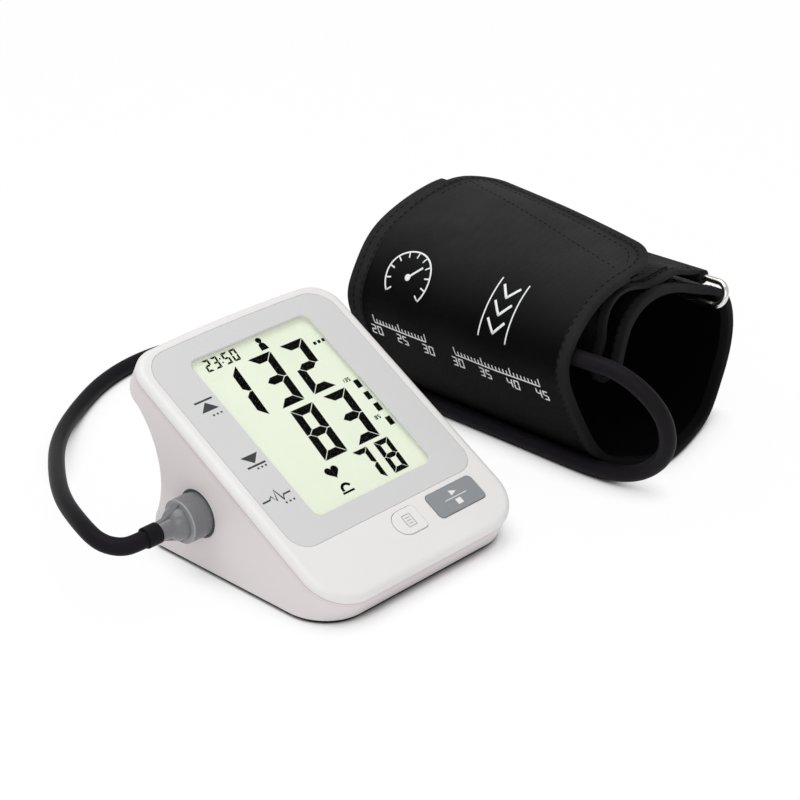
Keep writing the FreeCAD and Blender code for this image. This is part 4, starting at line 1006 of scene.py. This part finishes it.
def hose_line():
    """Points of the hose's smooth line: a quadratic spline with the route's points as its controls."""
    curve = bpy.data.curves.new("hose_line", "CURVE")
    curve.dimensions = "3D"
    spline = curve.splines.new("NURBS")
    spline.points.add(len(HOSE_ROUTE) - 1)
    controls = np.ones((len(HOSE_ROUTE), 4))
    controls[:, :3] = np.array(HOSE_ROUTE) * MM
    spline.points.foreach_set("co", controls.ravel())
    spline.order_u = 3
    spline.use_endpoint_u = True
    spline.resolution_u = 16
    holder = bpy.data.objects.new("hose_line", curve)
    mesh = bpy.data.meshes.new_from_object(holder)
    line = np.empty(len(mesh.vertices) * 3)
    mesh.vertices.foreach_get("co", line)
    bpy.data.meshes.remove(mesh)
    bpy.data.objects.remove(holder)
    bpy.data.curves.remove(curve)
    return line.reshape(-1, 3)


class MONITOR_OT_hose(bpy.types.Operator):
    """Add the air hose between the plug and the cuff"""

    bl_idname = "monitor.add_hose"
    bl_label = "Hose"

    def execute(self, context):
        look = context.scene.monitor_cuff
        line = hose_line()
        heading = np.gradient(line, axis=0)
        heading /= np.linalg.norm(heading, axis=1)[:, None]
        side = np.cross(heading, (0.0, 0.0, 1.0))
        side /= np.linalg.norm(side, axis=1)[:, None]
        rise = np.cross(side, heading)
        turn = np.linspace(0, 2 * np.pi, HOSE_SIDES, endpoint=False)
        ring = side[:, None] * np.cos(turn)[None, :, None] + rise[:, None] * np.sin(turn)[None, :, None]
        points = (line[:, None] + ring * look.hose_width / 2) / MM
        hose = mesh_piece("hose_tube", points, tube_faces(len(line), len(turn))[:, ::-1],
                          soft_rubber("hose_rubber", look.hose, 0.45, 0.04))
        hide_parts("air_hose")
        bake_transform(hose)
        return {"FINISHED"}


class MONITOR_OT_cuff_cloth(bpy.types.Operator):
    """Add the cuff's outer cloth, flap and lining"""

    bl_idname = "monitor.add_cuff_cloth"
    bl_label = "Cuff cloth"

    def execute(self, context):
        look = context.scene.monitor_cuff
        # The outer cloth has a painted sheen on its top and a painted shade lower down.
        cloth = woven("cuff_cloth", look.cloth, look.weave, painted_sheen=0.85)
        # The lining is darker than the outer cloth as painted shade inside the roll.
        lining = woven("cuff_lining_cloth", look.lining, look.weave * 0.8, 0.7, gloss=0.03)
        front, rear, outer_rear = FRONT_Y + CLOTH_INSET, REAR_Y - CLOTH_INSET, OUTER_REAR_Y - CLOTH_INSET
        y = np.linspace(front, outer_rear, 68)[None]
        reach = np.linspace(FLAP_SEAM, WRAP_END - CLOTH_TRIM, 240)[:, None]
        wrap = cloth_sheet("wrap_cloth", reach, y, 0.0, OUTER_PLY, cloth)
        riding(wrap, "monitor", "cuff_black", "cuff_outer_cloth")
        y = np.linspace(front, rear, 70)[None]
        reach = np.linspace(LINING_START, WRAP_END - LINING_TRIM, 240)[:, None]
        inner = cloth_sheet("lining_cloth", reach, y, LINING_TOP, LINING_LOW, lining)
        riding(inner, "monitor", "cuff_black", "cuff_lining", "cuff_bladder")
        t = 2 * np.pi * np.linspace(0, 1, 72)
        y = front + (outer_rear - front) * (t - 0.35 * np.sin(t)) / (2 * np.pi)
        free = flap_edge(y)[None] + FLAP_INSET
        reach = free + (FLAP_SEAM - free) * np.linspace(0, 1, 44)[:, None]
        flap = cloth_sheet("flap_cloth", reach, y[None], 0.0, OUTER_PLY, cloth)
        peeling(flap, "cuff_black", "cuff_flap")
        return {"FINISHED"}


class MONITOR_OT_cuff_tapes(bpy.types.Operator):
    """Add the tapes that bind the cuff's edges"""

    bl_idname = "monitor.add_cuff_tapes"
    bl_label = "Cuff tapes"

    def execute(self, context):
        look = context.scene.monitor_cuff
        tape = tape_cloth("edge_tape", look)
        width = look.tape_width / MM
        reach = np.linspace(FLAP_SEAM, WRAP_END - TAPE_TRIM, 300)
        profile = edge_profile(width, LINING_LOW, TAPE_PROUD)
        piece = tape_piece("front_tape", edge_line(reach, FRONT_Y, 1.0), profile, tape)
        riding(piece, "monitor", "binding_black", "front_binding")
        profile = edge_profile(width, OUTER_PLY, THIN_PROUD)
        outer = tape_parts(*edge_line(reach, OUTER_REAR_Y, -1.0), profile)
        under = edge_profile(width + 1.0, LINING_LOW - LINING_TOP, INNER_PROUD) + (0, LINING_TOP)
        reach = np.linspace(INNER_TAPE_START, WRAP_END - TAPE_TRIM, 300)
        inner = tape_parts(*edge_line(reach, REAR_Y, -1.0), under)
        points, faces = join_parts([outer[:2], inner[:2]])
        piece = mesh_piece("rear_tape", points, faces, tape,
                           np.concatenate([outer[2].reshape(-1, 2), inner[2].reshape(-1, 2)]))
        riding(piece, "monitor", "binding_black", "rear_binding")
        piece = tape_piece("flap_tape", flap_outline(150), edge_profile(width, OUTER_PLY, FLAP_PROUD), tape)
        peeling(piece, "binding_black")
        return {"FINISHED"}


class MONITOR_OT_strap(bpy.types.Operator):
    """Add the strap that comes back to the ring, with the loop round its wire"""

    bl_idname = "monitor.add_strap"
    bl_label = "Ring strap"

    def execute(self, context):
        look = context.scene.monitor_cuff
        # The strap has a painted sheen on its top and a painted shade lower down.
        cloth = woven("strap_cloth", look.cloth, look.weave, painted_sheen=0.75, heights=(0.05, 0.082))
        reach = np.linspace(WRAP_END - CLOTH_TRIM, BAND_END - STRAP_TRIM, 110)[:, None]
        y = np.linspace(STRAP_FRONT, STRAP_REAR, 66)[None]
        strap = cloth_sheet("strap_cloth", reach, y, STRAP_THICK, STRAP_LOW, cloth)
        rows, sides = 60, 28
        turn = np.linspace(0, 2 * np.pi, sides, endpoint=False)[None]
        y = np.linspace(STRAP_FRONT, STRAP_REAR, rows)
        y = np.concatenate([y, y[::-1]])[:, None]
        radius = np.repeat([LOOP_BORE + STRAP_THICK, LOOP_BORE], rows)[:, None]
        x, z = RING_X + radius * np.cos(turn), RING_HEIGHT + radius * np.sin(turn)
        points = np.stack(np.broadcast_arrays(x, y, z), -1)
        uv = np.stack(np.broadcast_arrays(turn * radius[0], y), -1)
        faces = grid_faces(2 * rows, sides, wrap_rows=True, wrap_columns=True)
        loop = mesh_piece("strap_loop", points, faces[:, ::-1], cloth, uv)
        riding(loop, "monitor", "cuff_black")
        riding(strap, "monitor", "cuff_black", "ring_strap")
        tape = tape_cloth("strap_tape", look)
        line = edge_line(np.linspace(WRAP_END, BAND_END - STRAP_TAPE_TRIM, 100), STRAP_FRONT, 1.0)
        profile = edge_profile(look.tape_width / MM, STRAP_THICK, THIN_PROUD)
        piece = tape_piece("strap_edge", line, profile, tape)
        riding(piece, "monitor", "binding_black")
        return {"FINISHED"}


class MONITOR_OT_hook_and_loop(bpy.types.Operator):
    """Add the hook tape under the flap and the loop tape on the strap"""

    bl_idname = "monitor.add_hook_and_loop"
    bl_label = "Hook and loop"

    def execute(self, context):
        y = np.linspace(FRONT_Y + PATCH_INSET, OUTER_REAR_Y - PATCH_INSET, 50)[None]
        free = flap_edge(y) + PATCH_INSET
        reach = free + (HOOK_END - free) * np.linspace(0, 1, 22)[:, None]
        fibres = pile("hook_fibres", tone(9, 9, 10), 1100.0, 0.0004)
        hook = cloth_sheet("hook_tape", reach, y, HOOK_TOP, HOOK_LOW, fibres)
        peeling(hook, "hook_black", "hook_patch")
        start, end = (BAND_END - v for v in LOOP_PATCH_ENDS)
        reach = np.linspace(start, end, 40)[:, None]
        y = np.linspace(STRAP_FRONT + LOOP_INSET, STRAP_REAR - LOOP_INSET, 56)[None]
        fibres = pile("loop_fibres", tone(11, 11, 12), 900.0, 0.0004)
        loop = cloth_sheet("loop_tape", reach, y, LOOP_TOP, LOOP_LOW, fibres)
        riding(loop, "monitor", "hook_black", "loop_patch")
        return {"FINISHED"}


class MONITOR_OT_stitching(bpy.types.Operator):
    """Add the rows of stitches along the tapes, the patch and the strap"""

    bl_idname = "monitor.add_stitching"
    bl_label = "Stitching"

    def execute(self, context):
        look = context.scene.monitor_cuff
        thread = ink("sewing_thread", look.thread, 0.7, 0.05)
        inset = look.tape_width / MM - SEAM_INSET
        sewing = look.stitch / MM, look.stitch_gap / MM, THREAD
        reach = np.linspace(FLAP_SEAM, WRAP_END - SEAM_TRIM, 400)
        rows = [stitch_run(edge_line(reach, y, 1.0)[0], level, *sewing)
                for y, level in ((FRONT_Y + inset, -TAPE_PROUD), (OUTER_REAR_Y - inset, -THIN_PROUD),
                                 (REAR_Y - inset, LINING_TOP - INNER_PROUD))]
        piece = mesh_piece("wrap_stitches", *join_parts(rows), thread)
        riding(piece, "monitor", "binding_black")
        line, inward = flap_outline(150)
        second = line + inward * (look.tape_width / MM + SECOND_ROW)
        second = second[SECOND_ROW_TRIM:-SECOND_ROW_TRIM]
        low, high = PATCH_SEAM_INSETS
        y = np.linspace(FRONT_Y + low, OUTER_REAR_Y - high, 120)
        seam = np.stack([np.minimum(PATCH_SEAM + PATCH_SEAM_SKEW * y, FLAP_SEAM - PATCH_SEAM_TRIM), y], -1)
        rows = [stitch_run(line + inward * inset, -FLAP_PROUD, *sewing),
                stitch_run(second, 0.0, *sewing[:2], FINE_THREAD),
                stitch_run(seam, 0.0, *sewing[:2], PATCH_THREAD)]
        piece = mesh_piece("flap_stitches", *join_parts(rows), thread)
        peeling(piece, "binding_black")
        reach = np.linspace(STRAP_STARTS[0], BAND_END - STRAP_TAPE_TRIM, 200)
        line = edge_line(reach, STRAP_FRONT + inset, 1.0)[0]
        piece = mesh_piece("strap_stitches", *stitch_run(line, STRAP_THICK + THIN_PROUD, *sewing), thread)
        riding(piece, "monitor", "binding_black")
        return {"FINISHED"}


class MONITOR_OT_cuff_print(bpy.types.Operator):
    """Add a plain printed design on the cuff: a gauge, chevrons and two measuring scales"""

    bl_idname = "monitor.add_cuff_print"
    bl_label = "Cuff print"

    def execute(self, context):
        parts = [stroke(arc(DIAL, DIAL_RADIUS, *DIAL_SWEEP, 60), DIAL_STROKE, step=COARSE_STEP)]
        for angle in range(DIAL_SWEEP[0], DIAL_SWEEP[1] + 1, DIAL_TICK_TURN):
            ray = np.array([math.cos(math.radians(angle)), math.sin(math.radians(angle))])
            parts.append(stroke([DIAL + ray * end for end in DIAL_TICK], DIAL_TICK_STROKE, step=FINE_STEP))
        parts.append(stroke([DIAL, DIAL + NEEDLE], NEEDLE_STROKE, step=FINE_STEP))
        parts.append(disc(DIAL, HUB_RADIUS, 18))
        for side in (-RAIL_HALF, RAIL_HALF):
            rail = [CHEVRON_TIP + (side, end) for end in RAIL_ENDS]
            parts.append(stroke(rail, RAIL_STROKE, step=FINE_STEP))
        for rise in CHEVRON_RISES:
            ends = CHEVRON_DEPTH + rise
            corners = [(-CHEVRON_HALF, ends), (0, rise), (CHEVRON_HALF, ends)]
            parts.append(stroke(CHEVRON_TIP + np.array(corners), CHEVRON_STROKE, step=FINE_STEP))
        for left, level, ticks, numbers in SCALES:
            length = (ticks - 1) * TICK_STEP
            parts.append(stroke([(left, level), (left + length, level)], SCALE_STROKE, step=COARSE_STEP))
            for k in range(ticks):
                tall = TICK_SHORT if k % TICKS_EACH else TICK_LONG
                at = left + k * TICK_STEP
                parts.append(stroke([(at, level), (at, level + tall)], TICK_STROKE, step=FINE_STEP))
            for k, number in enumerate(numbers):
                start = left + k * TICKS_EACH * TICK_STEP - NUMBER_BACK
                for j, figure in enumerate(number):
                    parts += digit(figure, start + j * NUMBER_STEP, level - NUMBER_DROP, NUMBER_WIDTH,
                                   NUMBER_HEIGHT, NUMBER_BAR, NUMBER_GAP, NUMBER_SLANT)
        points, faces = join_parts(parts)
        spots = cuff_point(-points[:, 1], PRINT_START - points[:, 0], -PRINT_LIFT)
        white = ink("print_ink", context.scene.monitor_cuff.print_white, 0.55)
        piece = thicken(mesh_piece("cuff_print", spots, faces, white), PRINT_DEPTH)
        riding(piece, "monitor", "cuff_black")
        return {"FINISHED"}


def area_light(name, spot, target, width, height, power):
    """Soft rectangular lamp aimed at a point, in metres."""
    lamp = bpy.data.lights.new(name, "AREA")
    lamp.shape, lamp.size, lamp.size_y, lamp.energy = "RECTANGLE", width, height, power
    made = bpy.data.objects.new(name, lamp)
    made.location = spot
    made.rotation_euler = (Vector(target) - Vector(spot)).to_track_quat("-Z", "Y").to_euler()
    bpy.context.scene.collection.objects.link(made)


class MONITOR_OT_stage(bpy.types.Operator):
    """Add the floor, lights and camera"""

    bl_idname = "monitor.add_stage"
    bl_label = "Stage"

    def execute(self, context):
        look, scene = context.scene.monitor_stage, context.scene
        scene.view_settings.view_transform = "Standard"
        floor = Finish("floor_white", look.floor, roughness=0.9)
        rays = [floor.node("ShaderNodeLightPath", {}, {}, "Is %s Ray" % kind)
                for kind in ("Camera", "Glossy", "Transmission")]
        # Ambient occlusion paints the shade: it dims the floor's white glow as a painted contact shadow
        # and, in narrow slots, darkens the floor's own colour as painted shade.
        open_sky = floor.node("ShaderNodeAmbientOcclusion", {"samples": SHADOW_SAMPLES},
                              {"Distance": SHADOW_REACH}, "AO")
        contact = floor.span(open_sky, *SLOT_SKY, 0.0, 1.0)
        seen = (rays[0] + rays[1] + rays[2]) * open_sky ** SHADOW_CURVE * contact
        floor.feed(Base_Color=floor.blend(contact, tone(*SLOT_PAINTED_SHADE), look.floor))
        glow = floor.node("ShaderNodeEmission", {}, {"Color": (1, 1, 1, 1), "Strength": 1.0})
        mixed = floor.node("ShaderNodeMixShader", {}, {
            0: seen * FLOOR_WHITE, 1: Link(floor, floor.shader.outputs[0]), 2: glow})
        floor.join(mixed, floor.tree.nodes["Material Output"].inputs["Surface"])
        corners = np.array([(-1, -1), (1, -1), (1, 1), (-1, 1)]) * FLOOR_HALF
        corners = np.column_stack([corners, np.full(4, -FLOOR_DROP)]) / MM
        mesh_piece("floor", corners, [(0, 1, 2, 3)], floor, smooth=False)
        world = scene.world or bpy.data.worlds.new("studio")
        scene.world = world
        world.use_nodes = True
        tree = world.node_tree
        back = tree.nodes["Background"]
        rays = tree.nodes.new("ShaderNodeLightPath")
        level = tree.nodes.new("ShaderNodeMapRange")
        tree.links.new(rays.outputs["Is Camera Ray"], level.inputs["Value"])
        level.inputs["To Min"].default_value = look.ambient
        level.inputs["To Max"].default_value = 1.0
        back.inputs["Color"].default_value = (1, 1, 1, 1)
        tree.links.new(level.outputs[0], back.inputs["Strength"])
        area_light("overhead", power=look.overhead, **OVERHEAD_LAMP)
        area_light("side", power=look.side, **SIDE_LAMP)
        camera = bpy.data.cameras.new("camera")
        camera.sensor_width, camera.lens = SENSOR, LENS
        camera.clip_start, camera.clip_end = CLIP
        made = bpy.data.objects.new("camera", camera)
        turned = Matrix((CAMERA_RIGHT, CAMERA_UP, CAMERA_BACK)).transposed().to_4x4()
        made.matrix_world = Matrix.Translation(CAMERA_SPOT) @ turned
        scene.collection.objects.link(made)
        scene.camera = made
        return {"FINISHED"}


OPERATORS = (MONITOR_OT_stage, MONITOR_OT_hose, MONITOR_OT_case, MONITOR_OT_insides, MONITOR_OT_display,
             MONITOR_OT_panel_marks, MONITOR_OT_key_marks, MONITOR_OT_cuff_cloth, MONITOR_OT_cuff_tapes,
             MONITOR_OT_strap, MONITOR_OT_hook_and_loop, MONITOR_OT_stitching, MONITOR_OT_cuff_print)


class MONITOR_PT_sidebar(bpy.types.Panel):
    """Lists the steps that dress the monitor"""

    bl_idname = "MONITOR_PT_sidebar"
    bl_label = "Blood pressure monitor"
    bl_space_type = "VIEW_3D"
    bl_region_type = "UI"
    bl_category = "Monitor"

    def draw(self, context):
        for step in OPERATORS:
            self.layout.operator(step.bl_idname)


CLASSES = (CaseSettings, CuffSettings, StageSettings, *OPERATORS, MONITOR_PT_sidebar)


def register():
    for cls in CLASSES:
        bpy.utils.register_class(cls)
    bpy.types.Scene.monitor_case = PointerProperty(type=CaseSettings)
    bpy.types.Scene.monitor_cuff = PointerProperty(type=CuffSettings)
    bpy.types.Scene.monitor_stage = PointerProperty(type=StageSettings)


def unregister():
    del bpy.types.Scene.monitor_stage
    del bpy.types.Scene.monitor_cuff
    del bpy.types.Scene.monitor_case
    for cls in reversed(CLASSES):
        bpy.utils.unregister_class(cls)


def main():
    """Register the steps and take them in order."""
    register()
    for step in OPERATORS:
        group, name = step.bl_idname.split(".")
        getattr(getattr(bpy.ops, group), name)()


if __name__ == "__main__":
    main()
